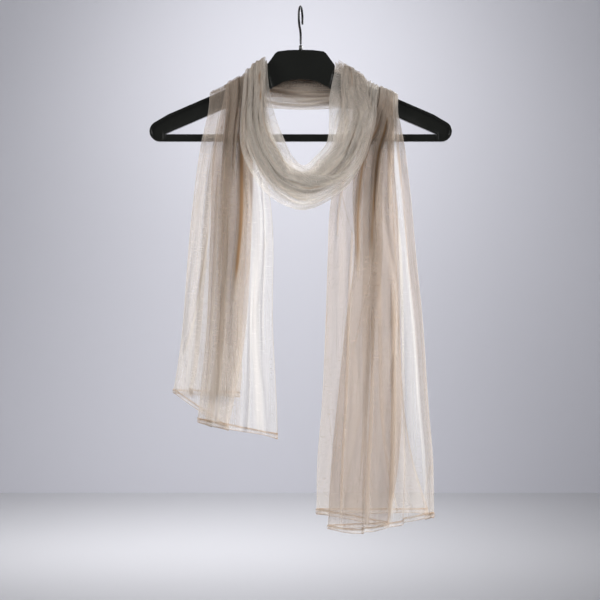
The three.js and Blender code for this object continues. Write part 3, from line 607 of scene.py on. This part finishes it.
def cloth_points(band):
    """Every point of the cloth in mm, how many cloths are drawn together there with its painted fold shade,
    and the layers' painted shade.
    """
    across, height, drop, tucked, shade = cloth_sections(band)
    points = (
        band.inner[:, None, :]
        + band.across[:, None, :] * across[..., None]
        + band.stack[:, None, :] * height[..., None]
    )
    points[..., 2] -= drop
    steps = np.linalg.norm(np.diff(points, axis=1), axis=2)
    gathered = np.clip(FLAT_WIDTH / steps.sum(axis=1), 1, MOST_GATHERED)[:, None]
    return points, gathered * on_edge(across, steps) + tucked, shade


def new_mesh(name, points, faces):
    """An object from points in millimetres and faces of four corners."""
    mesh = bpy.data.meshes.new(name)
    mesh.from_pydata((points * MM).tolist(), [], faces.tolist())
    mesh.validate()
    piece = bpy.data.objects.new(name, mesh)
    bpy.context.scene.collection.objects.link(piece)
    mesh.polygons.foreach_set("use_smooth", [True] * len(mesh.polygons))
    return piece


def grid_mesh(name, points):
    """An object from rows and columns of points."""
    index = np.arange(points.shape[0] * points.shape[1]).reshape(points.shape[:2])
    corners = [index[:-1, :-1], index[:-1, 1:], index[1:, 1:], index[1:, :-1]]
    return new_mesh(name, points.reshape(-1, 3), np.stack(corners, axis=-1).reshape(-1, 4))


def mark(piece, name, values):
    """A value at each point of a piece, for its material to read."""
    attribute = piece.data.attributes.new(name, "FLOAT", "POINT")
    attribute.data.foreach_set("value", np.ravel(values))


# ------------------------------------------------------------------ materials
def linear(code):
    """sRGB hex code to linear colour."""
    values = [int(code[i : i + 2], 16) / 255 for i in (1, 3, 5)]
    return tuple(v / 12.92 if v <= 0.04045 else ((v + 0.055) / 1.055) ** 2.4 for v in values) + (1.0,)


def node(tree, kind, settings=None, **links):
    """Adds a shader node. Its settings are attributes, or values of inputs by name or number. Its links
    are nodes or sockets that feed inputs, named with _ for a space or numbered after an i."""
    new = tree.nodes.new("ShaderNode" + kind)
    for key, value in (settings or {}).items():
        if hasattr(new, key):
            setattr(new, key, value)
        else:
            new.inputs[int(key) if key.isdigit() else key].default_value = value
    for key, source in links.items():
        target = new.inputs[int(key[1:]) if key[1:].isdigit() else key.replace("_", " ")]
        tree.links.new(getattr(source, "outputs", [source])[0], target)
    return new


def ranges(low, high, to_low, to_high):
    """Settings of a MapRange: the range that it reads and the range that it gives."""
    return {"From Min": low, "From Max": high, "To Min": to_low, "To Max": to_high}


def fresh_material(name):
    """An empty material, and the function that adds nodes to it."""
    material = bpy.data.materials.new(name)
    material.use_nodes = True
    material.node_tree.nodes.clear()
    return material, partial(node, material.node_tree)


def finished(material, shader):
    """The material, with its last shader on its output."""
    node(material.node_tree, "OutputMaterial", Surface=shader)
    return material


def spots(add, size, detail=2.0):
    """Noise on the piece itself, whose spots are so many mm wide."""
    at = add("TexCoord").outputs["Object"]
    return add("TexNoise", {"Scale": 1 / (size * MM), "Detail": detail}, Vector=at)


def sheer(add, threads, through, cover):
    """Threads that scatter light on both their sides, with clear gaps between them."""
    cloth = add("MixShader", {"0": 0.5}, i1=threads, i2=through)
    return add("MixShader", i0=cover, i1=add("BsdfTransparent"), i2=cloth)


def gauze_material(settings):
    """Crinkled cotton gauze: an open weave that lets light through, closer where it is drawn together, with
    shade painted darker where layers stack and in deep folds.
    """
    material, add = fresh_material("crinkled cotton gauze")
    cloth_mm = add("UVMap", {"uv_map": "cloth_mm"})
    edge, gathered, shade = (
        add("Attribute", {"attribute_name": name}).outputs["Fac"]
        for name in ("selvage", "gathered", "layer_shade")
    )

    def pattern(name):
        across, along, detail, roughness = GAUZE_PATTERNS[name]
        at = add("Mapping", {"Scale": (1 / across, 1 / along, 1)}, Vector=cloth_mm)
        return add("TexNoise", {"Scale": 1.0, "Detail": detail, "Roughness": roughness}, Vector=at)

    bands, streaks, slubs = (pattern(name) for name in ("bands", "streaks", "slubs"))
    # short cross ripples, in patches where the damp cloth was twisted dry
    damp = add("MapRange", ranges(0.52, 0.66, 0.0, 1.0), Value=pattern("damp patches"))
    ripples = add("Math", {"operation": "MULTIPLY"}, i0=pattern("ripples"), i1=damp)

    # thin creases lie where a slow wave of noise crosses its middle
    away = add("Math", {"operation": "SUBTRACT", "1": 0.5}, i0=pattern("thin creases"))
    away = add("Math", {"operation": "ABSOLUTE"}, i0=away)
    lines = add("MapRange", ranges(0.0, 0.02, 1.0, 0.0), Value=away)
    where = add("MapRange", ranges(0.42, 0.58, 0.0, 1.0), Value=pattern("creased spots"))
    lines = add("Math", {"operation": "MULTIPLY"}, i0=lines, i1=where)

    # painted shade: lighter on a single cloth, darker where several lie flat, darkest in the deepest folds
    # and tucked creases, and a little darker along the thin creases
    laid = add("MapRange", ranges(0.0, 1.0, 0.0, 0.5), Value=shade)
    folded = add("MapRange", ranges(2.8, 8.0, 0.0, 0.8), Value=gathered)
    tone = add("Math", {"operation": "ADD"}, i0=laid, i1=folded)
    tone = add("Math", {"operation": "MULTIPLY_ADD", "1": 0.16}, i0=lines, i2=tone)
    tone = add("Math", {"operation": "MULTIPLY_ADD", "1": 0.4}, i0=edge, i2=tone)
    colour = add("ValToRGB", Fac=tone)
    colour.color_ramp.elements.new(0.5).color = linear(settings.stack_shade_colour)
    colour.color_ramp.elements[0].color = linear(settings.thread_colour)
    colour.color_ramp.elements[2].color = linear(settings.shade_colour)

    # share of a single cloth that is thread and not gap
    cover = add("MapRange", ranges(0.3, 0.7, 0.24, 0.36), Value=bands)
    uneven = add("MapRange", ranges(0.3, 0.7, -0.03, 0.03), Value=streaks)
    thick = add("MapRange", ranges(0.58, 0.75, 0.0, 0.12), Value=slubs)
    cover = add("Math", {"operation": "ADD"}, i0=cover, i1=uneven)
    cover = add("Math", {"operation": "ADD"}, i0=cover, i1=thick)
    cover = add("Math", {"operation": "MULTIPLY_ADD", "1": 0.12}, i0=lines, i2=cover)
    gaps = add("Math", {"operation": "SUBTRACT", "0": 1.0, "use_clamp": True}, i1=cover)
    gaps = add("Math", {"operation": "POWER"}, i0=gaps, i1=gathered)
    cover = add("Math", {"operation": "SUBTRACT", "0": 1.0}, i1=gaps)
    cover = add("Math", {"operation": "MULTIPLY_ADD", "1": 0.35}, i0=edge, i2=cover)

    raised = add("MapRange", ranges(0.5, 0.8, 0.0, 0.4), Value=slubs)
    height = streaks
    for form in (ripples, raised, lines):
        height = add("Math", {"operation": "ADD"}, i0=height, i1=form)
    bump = add("Bump", {"Strength": 0.6, "Distance": 0.0007}, Height=height)
    threads = add(
        "BsdfPrincipled",
        {"Roughness": 0.85, "Specular IOR Level": 0.2, "Sheen Weight": 0.15, "Sheen Roughness": 0.5},
        Base_Color=colour, Normal=bump,
    )
    through = add("BsdfTranslucent", Color=colour, Normal=bump)
    return finished(material, sheer(add, threads, through, cover))


def hem_material(settings):
    """The same gauze turned three layers thick: still sheer, closest along its two folded edges."""
    material, add = fresh_material("turned gauze hem")
    edge = add("Attribute", {"attribute_name": "fold_edge"}).outputs["Fac"]
    grain = spots(add, GRAIN_SIZE, 3.0)
    patches = spots(add, PATCH_SIZE)
    tone = add("MapRange", ranges(0.35, 0.65, 0.0, 0.35), Value=patches)
    tone = add("Math", {"operation": "MULTIPLY_ADD", "1": 0.55}, i0=edge, i2=tone)
    colour = add("ValToRGB", Fac=tone)
    colour.color_ramp.elements[0].color = linear(settings.thread_colour)
    colour.color_ramp.elements[1].color = linear(settings.shade_colour)
    cover = add("MapRange", ranges(0.3, 0.7, 0.14, 0.34), Value=grain)
    cover = add("Math", {"operation": "MULTIPLY_ADD", "1": 0.42}, i0=edge, i2=cover)
    bump = add("Bump", {"Strength": 0.4, "Distance": 0.0004}, Height=grain)
    finish = {"Roughness": 0.85, "Specular IOR Level": 0.2}
    threads = add("BsdfPrincipled", finish, Base_Color=colour, Normal=bump)
    through = add("BsdfTranslucent", Color=colour)
    return finished(material, sheer(add, threads, through, cover))


def thread_material(settings):
    """Spun polyester sewing thread: matt, a shade darker than the gauze, light and dark along its twist."""
    material, add = fresh_material("spun sewing thread")
    twist = spots(add, TWIST_SIZE)
    colour = add("ValToRGB", Fac=twist)
    colour.color_ramp.elements[0].color = linear(settings.shade_colour)
    colour.color_ramp.elements[1].color = linear(settings.stitch_colour)
    return finished(material, add("BsdfPrincipled", {"Roughness": 0.7}, Base_Color=colour))


def plastic_material(settings):
    """Injection-moulded black ABS: glossy, with a faint orange-peel skin and a haze from handling."""
    material, add = fresh_material("moulded black ABS")
    peel = spots(add, PEEL_SIZE)
    haze = spots(add, HAZE_SIZE, 5.0)
    rough = add("MapRange", ranges(0.3, 0.75, 0.13, 0.24), Value=haze)
    bump = add("Bump", {"Strength": 0.06, "Distance": 0.0003}, Height=peel)
    finish = {"Base Color": linear(settings.plastic_colour), "IOR": 1.53}
    return finished(material, add("BsdfPrincipled", finish, Roughness=rough, Normal=bump))


def wire_material(settings):
    """Steel wire with a black lacquer: duller than the plastic, with worn and unworn spots."""
    material, add = fresh_material("black lacquered steel wire")
    wear = spots(add, WEAR_SIZE, 4.0)
    rough = add("MapRange", ranges(0.3, 0.7, 0.22, 0.42), Value=wear)
    finish = {"Base Color": linear(settings.wire_colour), "Metallic": 0.3}
    return finished(material, add("BsdfPrincipled", finish, Roughness=rough))


def stage_material(name, code, roughness):
    material, add = fresh_material(name)
    finish = {"Base Color": linear(code), "Roughness": roughness}
    return finished(material, add("BsdfPrincipled", finish))


# ------------------------------------------------------------------ settings
class ScarfSettings(bpy.types.PropertyGroup):
    """Colours and stitches of the scarf"""

    thread_colour: StringProperty(
        name="Thread", description="Gauze colour where one cloth hangs loose", default="#E9E3DB"
    )
    # painted shade of several layers lying stacked, darker than one loose cloth
    stack_shade_colour: StringProperty(
        name="Stack", description="Gauze colour where five cloths lie flat together", default="#C2B3A5"
    )
    # the darkest painted shade, in the gauze's deepest folds; also the darker end of the hem's folded edges
    # and of the thread's twist
    shade_colour: StringProperty(
        name="Shade", description="Gauze colour in the deepest folds", default="#AA8A6A"
    )
    stitch_colour: StringProperty(
        name="Stitches", description="Sewing thread colour", default="#C9B8A2"
    )
    stitch_length: FloatProperty(
        name="Stitch length", description="Length of one hem stitch", default=0.0026, unit="LENGTH"
    )


class HangerSettings(bpy.types.PropertyGroup):
    """Colours and edges of the hanger"""

    plastic_colour: StringProperty(
        name="Plastic", description="Colour of the hanger", default="#141512"
    )
    wire_colour: StringProperty(
        name="Wire", description="Colour of the hook", default="#17171A"
    )
    edge_radius: FloatProperty(
        name="Edge radius", description="Rounding of the moulded edges", default=0.0009, unit="LENGTH"
    )


class StageSettings(bpy.types.PropertyGroup):
    """Camera, floor, backdrop and air of the stage"""

    distance: FloatProperty(
        name="Distance", description="Camera distance", default=2.8, unit="LENGTH"
    )
    floor_drop: FloatProperty(
        name="Floor drop", description="Floor below the lower hem", default=0.245, unit="LENGTH"
    )
    wall_distance: FloatProperty(
        name="Wall distance", description="Backdrop behind the hanger", default=3.0, unit="LENGTH"
    )
    floor_colour: StringProperty(
        name="Floor", description="Colour of the floor", default="#B4B4B8"
    )
    wall_colour: StringProperty(
        name="Wall", description="Colour of the backdrop", default="#D2D2DA"
    )
    air_colour: StringProperty(
        name="Air", description="Colour of the light from all round", default="#E8EAF0"
    )


# ------------------------------------------------------------------ helpers for modelled pieces
def deselect():
    """Leaves edit mode and deselects everything."""
    if bpy.context.object and bpy.context.object.mode != "OBJECT":
        bpy.ops.object.mode_set(mode="OBJECT")
    bpy.ops.object.select_all(action="DESELECT")


def select_only(piece):
    deselect()
    piece.select_set(True)
    bpy.context.view_layer.objects.active = piece


def apply_modifier(piece, kind, **settings):
    select_only(piece)
    modifier = piece.modifiers.new(kind.title(), kind)
    for key, value in settings.items():
        setattr(modifier, key, value)
    bpy.ops.object.modifier_apply(modifier=modifier.name)


def shade_smooth(piece, degrees):
    select_only(piece)
    bpy.ops.object.shade_smooth_by_angle(angle=math.radians(degrees))


def merged_copy(name, new_name):
    """A copy of a CAD node whose loose triangles are joined into one skin."""
    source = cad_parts[name]
    piece = source.copy()
    piece.data = source.data.copy()
    for key in list(piece.keys()):
        del piece[key]
    piece.name = new_name
    bpy.context.scene.collection.objects.link(piece)
    piece.hide_render = False
    piece.hide_set(False)
    piece.parent = None
    piece.data.materials.clear()
    select_only(piece)
    bpy.ops.object.mode_set(mode="EDIT")
    bpy.ops.mesh.select_all(action="SELECT")
    bpy.ops.mesh.remove_doubles(threshold=SAME_POINT)
    bpy.ops.mesh.dissolve_limited(angle_limit=math.radians(1))
    bpy.ops.object.mode_set(mode="OBJECT")
    return piece


def finish_piece(piece, material, slot, *nodes):
    """Gives a piece its material, its body and the CAD nodes that it replaces. Its slot is not used."""
    piece.data.materials.clear()
    piece.data.materials.append(material)
    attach(piece, "root")
    if nodes:
        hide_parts(*nodes)


# ------------------------------------------------------------------ operators
class SCARF_OT_cloth(bpy.types.Operator):
    """Lay the gauze along the folded band, with its creases and crinkles"""

    bl_idname = "scarf.cloth"
    bl_label = "Gauze"

    def execute(self, context):
        band = Band(SPACING_ALONG)
        points, gathered, shade = cloth_points(band)
        scarf = grid_mesh("scarf", points)
        self.add_cloth_uv(scarf, band, points)
        closer_threads = np.zeros(points.shape[:2])
        closer_threads[:, [0, -1]] = 1
        closer_threads[:, [1, -2]] = 0.5
        mark(scarf, "selvage", closer_threads)
        mark(scarf, "gathered", gathered)
        mark(scarf, "layer_shade", shade)
        finish_piece(scarf, gauze_material(context.scene.scarf), "gauze", *STRETCHES)
        return {"FINISHED"}

    @staticmethod
    def add_cloth_uv(scarf, band, points):
        """Millimetres across and along the cloth, for the weave and the streaks."""
        steps = np.linalg.norm(np.diff(points, axis=1), axis=2)
        across = np.concatenate([np.zeros((len(points), 1)), np.cumsum(steps, axis=1)], axis=1)
        across = across / across[:, -1:] * FLAT_WIDTH
        along = np.repeat(band.run[:, None], points.shape[1], axis=1)
        flat = np.stack([across, along], axis=-1).reshape(-1, 2)
        layer = scarf.data.uv_layers.new(name="cloth_mm")
        corners = np.empty(len(scarf.data.loops), int)
        scarf.data.loops.foreach_get("vertex_index", corners)
        layer.data.foreach_set("uv", flat[corners].ravel())


class SCARF_OT_hems(bpy.types.Operator):
    """Fold the narrow hem along both ends and sew it"""

    bl_idname = "scarf.hems"
    bl_label = "Hems"

    # name, row of the cloth's points and seed
    ENDS = (("hem_left", 0, 11), ("hem_right", -1, 12))
    # The hem's section down one face: mm below the cloth's end, mm from the middle, how close the threads
    # lie. The other face mirrors it, and both meet in the fold at the bottom.
    FACE = (
        (-1.2, 0.35, 0.7), (-0.2, 0.5, 1.0), (0.8, 0.6, 0.2),
        (2.4, 0.75, 0.0), (4.2, 0.7, 0.0), (5.6, 0.5, 0.35),
    )
    BOTTOM = (HEM_DEPTH, 0.0, 1.0)
    PUCKERED_FROM = 0.55  # mm from the middle, past which the faces pucker between stitches
    PUCKER, PUCKERS = 0.22, 90  # mm, and how many along the hem
    UNEVEN, UNEVEN_PARTS = 0.09, 26  # share of the hem's depth, and how many along it
    SWELL, SWELL_REACH = 1.3, 5  # at the cloth's folds: share of the thickness, and points to each side
    FOLD_SHADE, SHADE_REACH = 0.6, 2.5  # closer threads there, and points to each side
    CLOSEST = 1.4
    # A stitch's rings: share of its length, radius in mm, share of the way out from the hem's middle.
    STITCH = ((0.0, 0.05, 0.75), (0.12, 0.2, 1), (0.5, 0.24, 1), (0.88, 0.2, 1), (1.0, 0.05, 0.75))
    STITCH_SIDES = 6
    STITCH_SPACING = 1.25  # stitch lengths from one stitch to the next
    STITCH_FALL = 1.1  # mm below the cloth's end
    STITCH_OUT = 0.78  # mm from the hem's middle

    def execute(self, context):
        settings = context.scene.scarf
        points, _, _ = cloth_points(Band(SPACING_ALONG))
        material = hem_material(settings)
        thread = thread_material(settings)
        hems = []
        for name, end, seed in self.ENDS:
            line = points[end]
            hem = self.folded_hem(name + "_turned", line, seed)
            finish_piece(hem, material, "hem", name)
            stitches = self.stitches(name + "_stitches", line, settings.stitch_length / MM)
            finish_piece(stitches, thread, "hem")
            hems += [hem, stitches]
        return {"FINISHED"}

    @staticmethod
    def face_ways(line):
        """The way square to the cloth's face at each point of an end line."""
        return unit(np.cross(unit(np.gradient(line, axis=0)), DOWN * np.ones_like(line)))

    def folded_hem(self, name, line, seed):
        """The turned edge: a flat tube that puckers between stitches and swells at the cloth's folds."""
        rng = np.random.default_rng(seed)
        face = self.face_ways(line)
        count = len(line)
        pucker = self.PUCKER * smooth_noise(rng, count, self.PUCKERS)[:, None]
        depth = 1 + self.UNEVEN * smooth_noise(rng, count, self.UNEVEN_PARTS)[:, None]
        ends = [0, *np.cumsum([n + BEND_COLUMNS for n in LAYER_COLUMNS[:-1]]), count - 1]
        nearest = np.min([np.abs(np.arange(count) - end) for end in ends], axis=0)
        swell = (1 + self.SWELL * np.exp(-((nearest / self.SWELL_REACH) ** 2)))[:, None]
        other_face = [(drop, -side, close) for drop, side, close in reversed(self.FACE)]
        profile = [*self.FACE, self.BOTTOM, *other_face]
        strips = [
            line + DOWN * drop * depth + face * (side * swell + pucker * (abs(side) > self.PUCKERED_FROM))
            for drop, side, _ in profile
        ]
        hem = grid_mesh(name, np.stack(strips))
        close = np.array([close for *_, close in profile])[:, None]
        close = close + self.FOLD_SHADE * np.exp(-((nearest / self.SHADE_REACH) ** 2))
        mark(hem, "fold_edge", np.clip(close, 0, self.CLOSEST))
        return hem

    def stitches(self, name, line, length):
        """A row of lock stitches near the hem's upper edge, on both faces."""
        face = self.face_ways(line)
        run = np.concatenate([[0], np.cumsum(np.linalg.norm(np.diff(line, axis=0), axis=1))])
        starts = np.arange(1.0, run[-1] - length, length * self.STITCH_SPACING)
        points, faces = [], []
        for side in (self.STITCH_OUT, -self.STITCH_OUT):
            for start in starts:
                for part, radius, outward in self.STITCH:
                    at, out = (self.place_on(run, values, start + part * length) for values in (line, face))
                    centre = at + DOWN * self.STITCH_FALL + out * side * outward
                    for k in range(self.STITCH_SIDES):
                        angle = 2 * math.pi * k / self.STITCH_SIDES
                        points.append(centre + radius * (math.cos(angle) * out + math.sin(angle) * DOWN))
                faces += self.stitch_faces(len(points) - len(self.STITCH) * self.STITCH_SIDES)
        return new_mesh(name, np.array(points), np.array(faces))

    @staticmethod
    def place_on(run, values, place):
        """A vector of a line at a distance along it."""
        return np.array([np.interp(place, run, values[:, k]) for k in range(3)])

    def stitch_faces(self, first):
        """Faces between the rings of a stitch, from its first point on."""
        sides = self.STITCH_SIDES
        return [
            (ring + k, ring + (k + 1) % sides, ring + (k + 1) % sides + sides, ring + k + sides)
            for ring in range(first, first + (len(self.STITCH) - 1) * sides, sides)
            for k in range(sides)
        ]


class HANGER_OT_frame(bpy.types.Operator):
    """Join neck block, arms and trouser bar into one moulding and round its edges"""

    bl_idname = "scarf.hanger_frame"
    bl_label = "Hanger"

    # An arm's inner end lies within ARM_ROOT of the middle, and the bar's ends past BAR_TIP, in metres.
    ARM_ROOT, BAR_TIP = 0.051, 0.19
    ARM_REACH, BAR_REACH = -0.002, 0.0018  # m outwards that those ends move
    LEAST_POINTS = 100  # a moulding with fewer points has lost its arms
    COLLAR_ROUNDING = 0.4  # the collar's rounding as a share of the hanger's
    ROUNDED_FROM, SMOOTH_UP_TO = 40, 35  # degrees between faces

    def execute(self, context):
        settings = context.scene.hanger
        material = plastic_material(settings)
        moulding = merged_copy("neck_block", "hanger_moulded")
        for name in ("arm_left", "arm_right", "trouser_bar"):
            piece = merged_copy(name, name + "_end")
            self.reach_into_neighbours(piece, name)
            apply_modifier(moulding, "BOOLEAN", operation="UNION", solver="EXACT", object=piece)
            bpy.data.objects.remove(piece)
        if len(moulding.data.vertices) < self.LEAST_POINTS:
            raise RuntimeError("the hanger's pieces didn't join")
        self.round_edges(moulding, settings.edge_radius)
        finish_piece(moulding, material, "plastic", "neck_block", "arm_left", "arm_right", "trouser_bar")
        collar = merged_copy("collar", "collar_moulded")
        self.round_edges(collar, settings.edge_radius * self.COLLAR_ROUNDING)
        finish_piece(collar, material, "plastic", "collar")
        return {"FINISHED"}

    def reach_into_neighbours(self, piece, name):
        """Moves a piece's end corners into the piece it meets, so that no gap is left between them."""
        is_arm = name.startswith("arm")
        reach = self.ARM_REACH if is_arm else self.BAR_REACH
        for vertex in piece.data.vertices:
            out = abs(vertex.co.x)
            if out < self.ARM_ROOT if is_arm else out > self.BAR_TIP:
                vertex.co.x += math.copysign(1, vertex.co.x) * reach

    def round_edges(self, piece, radius):
        apply_modifier(
            piece, "BEVEL", width=radius, segments=3, limit_method="ANGLE",
            angle_limit=math.radians(self.ROUNDED_FROM), harden_normals=False,
        )
        shade_smooth(piece, self.SMOOTH_UP_TO)


class HANGER_OT_hook(bpy.types.Operator):
    """Round the wire hook"""

    bl_idname = "scarf.hanger_hook"
    bl_label = "Hook"

    def execute(self, context):
        piece = merged_copy("hook", "hook_wire")
        apply_modifier(piece, "SUBSURF", levels=1, render_levels=1)
        shade_smooth(piece, 60)
        finish_piece(piece, wire_material(context.scene.hanger), "wire", "hook")
        return {"FINISHED"}


class STAGE_OT_build(bpy.types.Operator):
    """Pale floor and backdrop, soft lights and the camera"""

    bl_idname = "scarf.stage"
    bl_label = "Stage"

    PLATE_SIZE = 8
    AIR_STRENGTH = 0.16
    SENSOR = 36  # mm
    SEEN_WIDTH = 0.874  # m that the camera sees at the hanger
    AIM_X, AIM_Z = -0.001, -0.4255
    # name, place, target, size in metres, power in watts and spread in degrees
    LAMPS = (
        ("key", (-1.7, -1.5, 0.55), (0, 0, -0.4), 1.1, 6.0, 60),
        ("fill", (1.6, -1.5, 0.2), (0, 0, -0.4), 1.1, 4.6, 60),
        ("wall_wash", (0, 1.6, 1.3), (0, 3.0, -0.35), 1.2, 14.5, 150),
        ("wall_centre", (-0.05, 1.75, 0.87), (0, 3.0, -0.33), 0.5, 3.7, 80),
        ("back_right", (1.35, 1.0, 0.15), (0.35, 0, -0.45), 0.8, 6.6, 46),
        ("back_left", (-0.7, 1.2, 0.45), (-0.05, 0, -0.3), 0.9, 1.3, 60),
        ("floor_wash", (-0.15, 1.65, 0.7), (-0.35, 1.7, -1), 0.8, 11.5, 95),
    )

    def execute(self, context):
        settings = context.scene.stage
        low, high = (Vector(v) for v in CAD_BOX)
        centre_x = (low.x + high.x) / 2
        floor_z = low.z - settings.floor_drop
        floor = self.plate("stage_floor", (centre_x, 0, floor_z), 0)
        floor.data.materials.append(stage_material("white laminate", settings.floor_colour, 0.45))
        wall_z = floor_z + self.PLATE_SIZE / 2
        wall = self.plate("stage_wall", (centre_x, settings.wall_distance, wall_z), 90)
        wall.data.materials.append(stage_material("pale paper backdrop", settings.wall_colour, 0.9))
        for lamp in self.LAMPS:
            self.area(*lamp)
        world = bpy.data.worlds.new("studio")
        context.scene.world = world
        world.use_nodes = True
        background = world.node_tree.nodes["Background"]
        background.inputs["Color"].default_value = linear(settings.air_colour)
        background.inputs["Strength"].default_value = self.AIR_STRENGTH
        self.camera(context.scene, settings)
        context.scene.view_settings.view_transform = "Standard"
        return {"FINISHED"}

    def plate(self, name, place, tilt):
        deselect()
        turned = (math.radians(tilt), 0, 0)
        bpy.ops.mesh.primitive_plane_add(size=self.PLATE_SIZE, location=place, rotation=turned)
        plane = bpy.context.object
        plane.name = name
        bpy.ops.object.transform_apply(location=True, rotation=True, scale=True)
        return plane

    @staticmethod
    def area(name, place, target, size, power, spread):
        light = bpy.data.lights.new(name, "AREA")
        light.size = size
        light.energy = power
        light.spread = math.radians(spread)
        lamp = bpy.data.objects.new(name, light)
        lamp.location = place
        lamp.rotation_euler = (Vector(target) - Vector(place)).to_track_quat("-Z", "Y").to_euler()
        bpy.context.scene.collection.objects.link(lamp)

    def camera(self, scene, settings):
        lens = bpy.data.cameras.new("camera")
        camera = bpy.data.objects.new("camera", lens)
        scene.collection.objects.link(camera)
        lens.sensor_width = self.SENSOR
        lens.lens = self.SENSOR * settings.distance / self.SEEN_WIDTH
        camera.location = (self.AIM_X, -settings.distance, self.AIM_Z)
        camera.rotation_euler = (math.radians(90), 0, 0)
        scene.camera = camera


class VIEW3D_PT_scarf(bpy.types.Panel):
    """Lists the scarf's pieces and settings"""

    bl_label = "Gauze scarf"
    bl_idname = "VIEW3D_PT_scarf"
    bl_space_type = "VIEW_3D"
    bl_region_type = "UI"
    bl_category = "Scarf"

    def draw(self, context):
        layout = self.layout
        for group in (context.scene.scarf, context.scene.hanger, context.scene.stage):
            box = layout.box()
            for name in group.__annotations__:
                box.prop(group, name)
        for operator in OPERATORS:
            layout.operator(operator.bl_idname)


GROUPS = {"scarf": ScarfSettings, "hanger": HangerSettings, "stage": StageSettings}
OPERATORS = (SCARF_OT_cloth, SCARF_OT_hems, HANGER_OT_frame, HANGER_OT_hook, STAGE_OT_build)
CLASSES = (*GROUPS.values(), *OPERATORS, VIEW3D_PT_scarf)


def register():
    for kind in CLASSES:
        bpy.utils.register_class(kind)
    for name, group in GROUPS.items():
        setattr(bpy.types.Scene, name, PointerProperty(type=group))


def unregister():
    for name in GROUPS:
        delattr(bpy.types.Scene, name)
    for kind in reversed(CLASSES):
        bpy.utils.unregister_class(kind)


def main():
    register()
    bpy.ops.scarf.cloth()
    bpy.ops.scarf.hems()
    bpy.ops.scarf.hanger_frame()
    bpy.ops.scarf.hanger_hook()
    bpy.ops.scarf.stage()


if __name__ == "__main__":
    main()
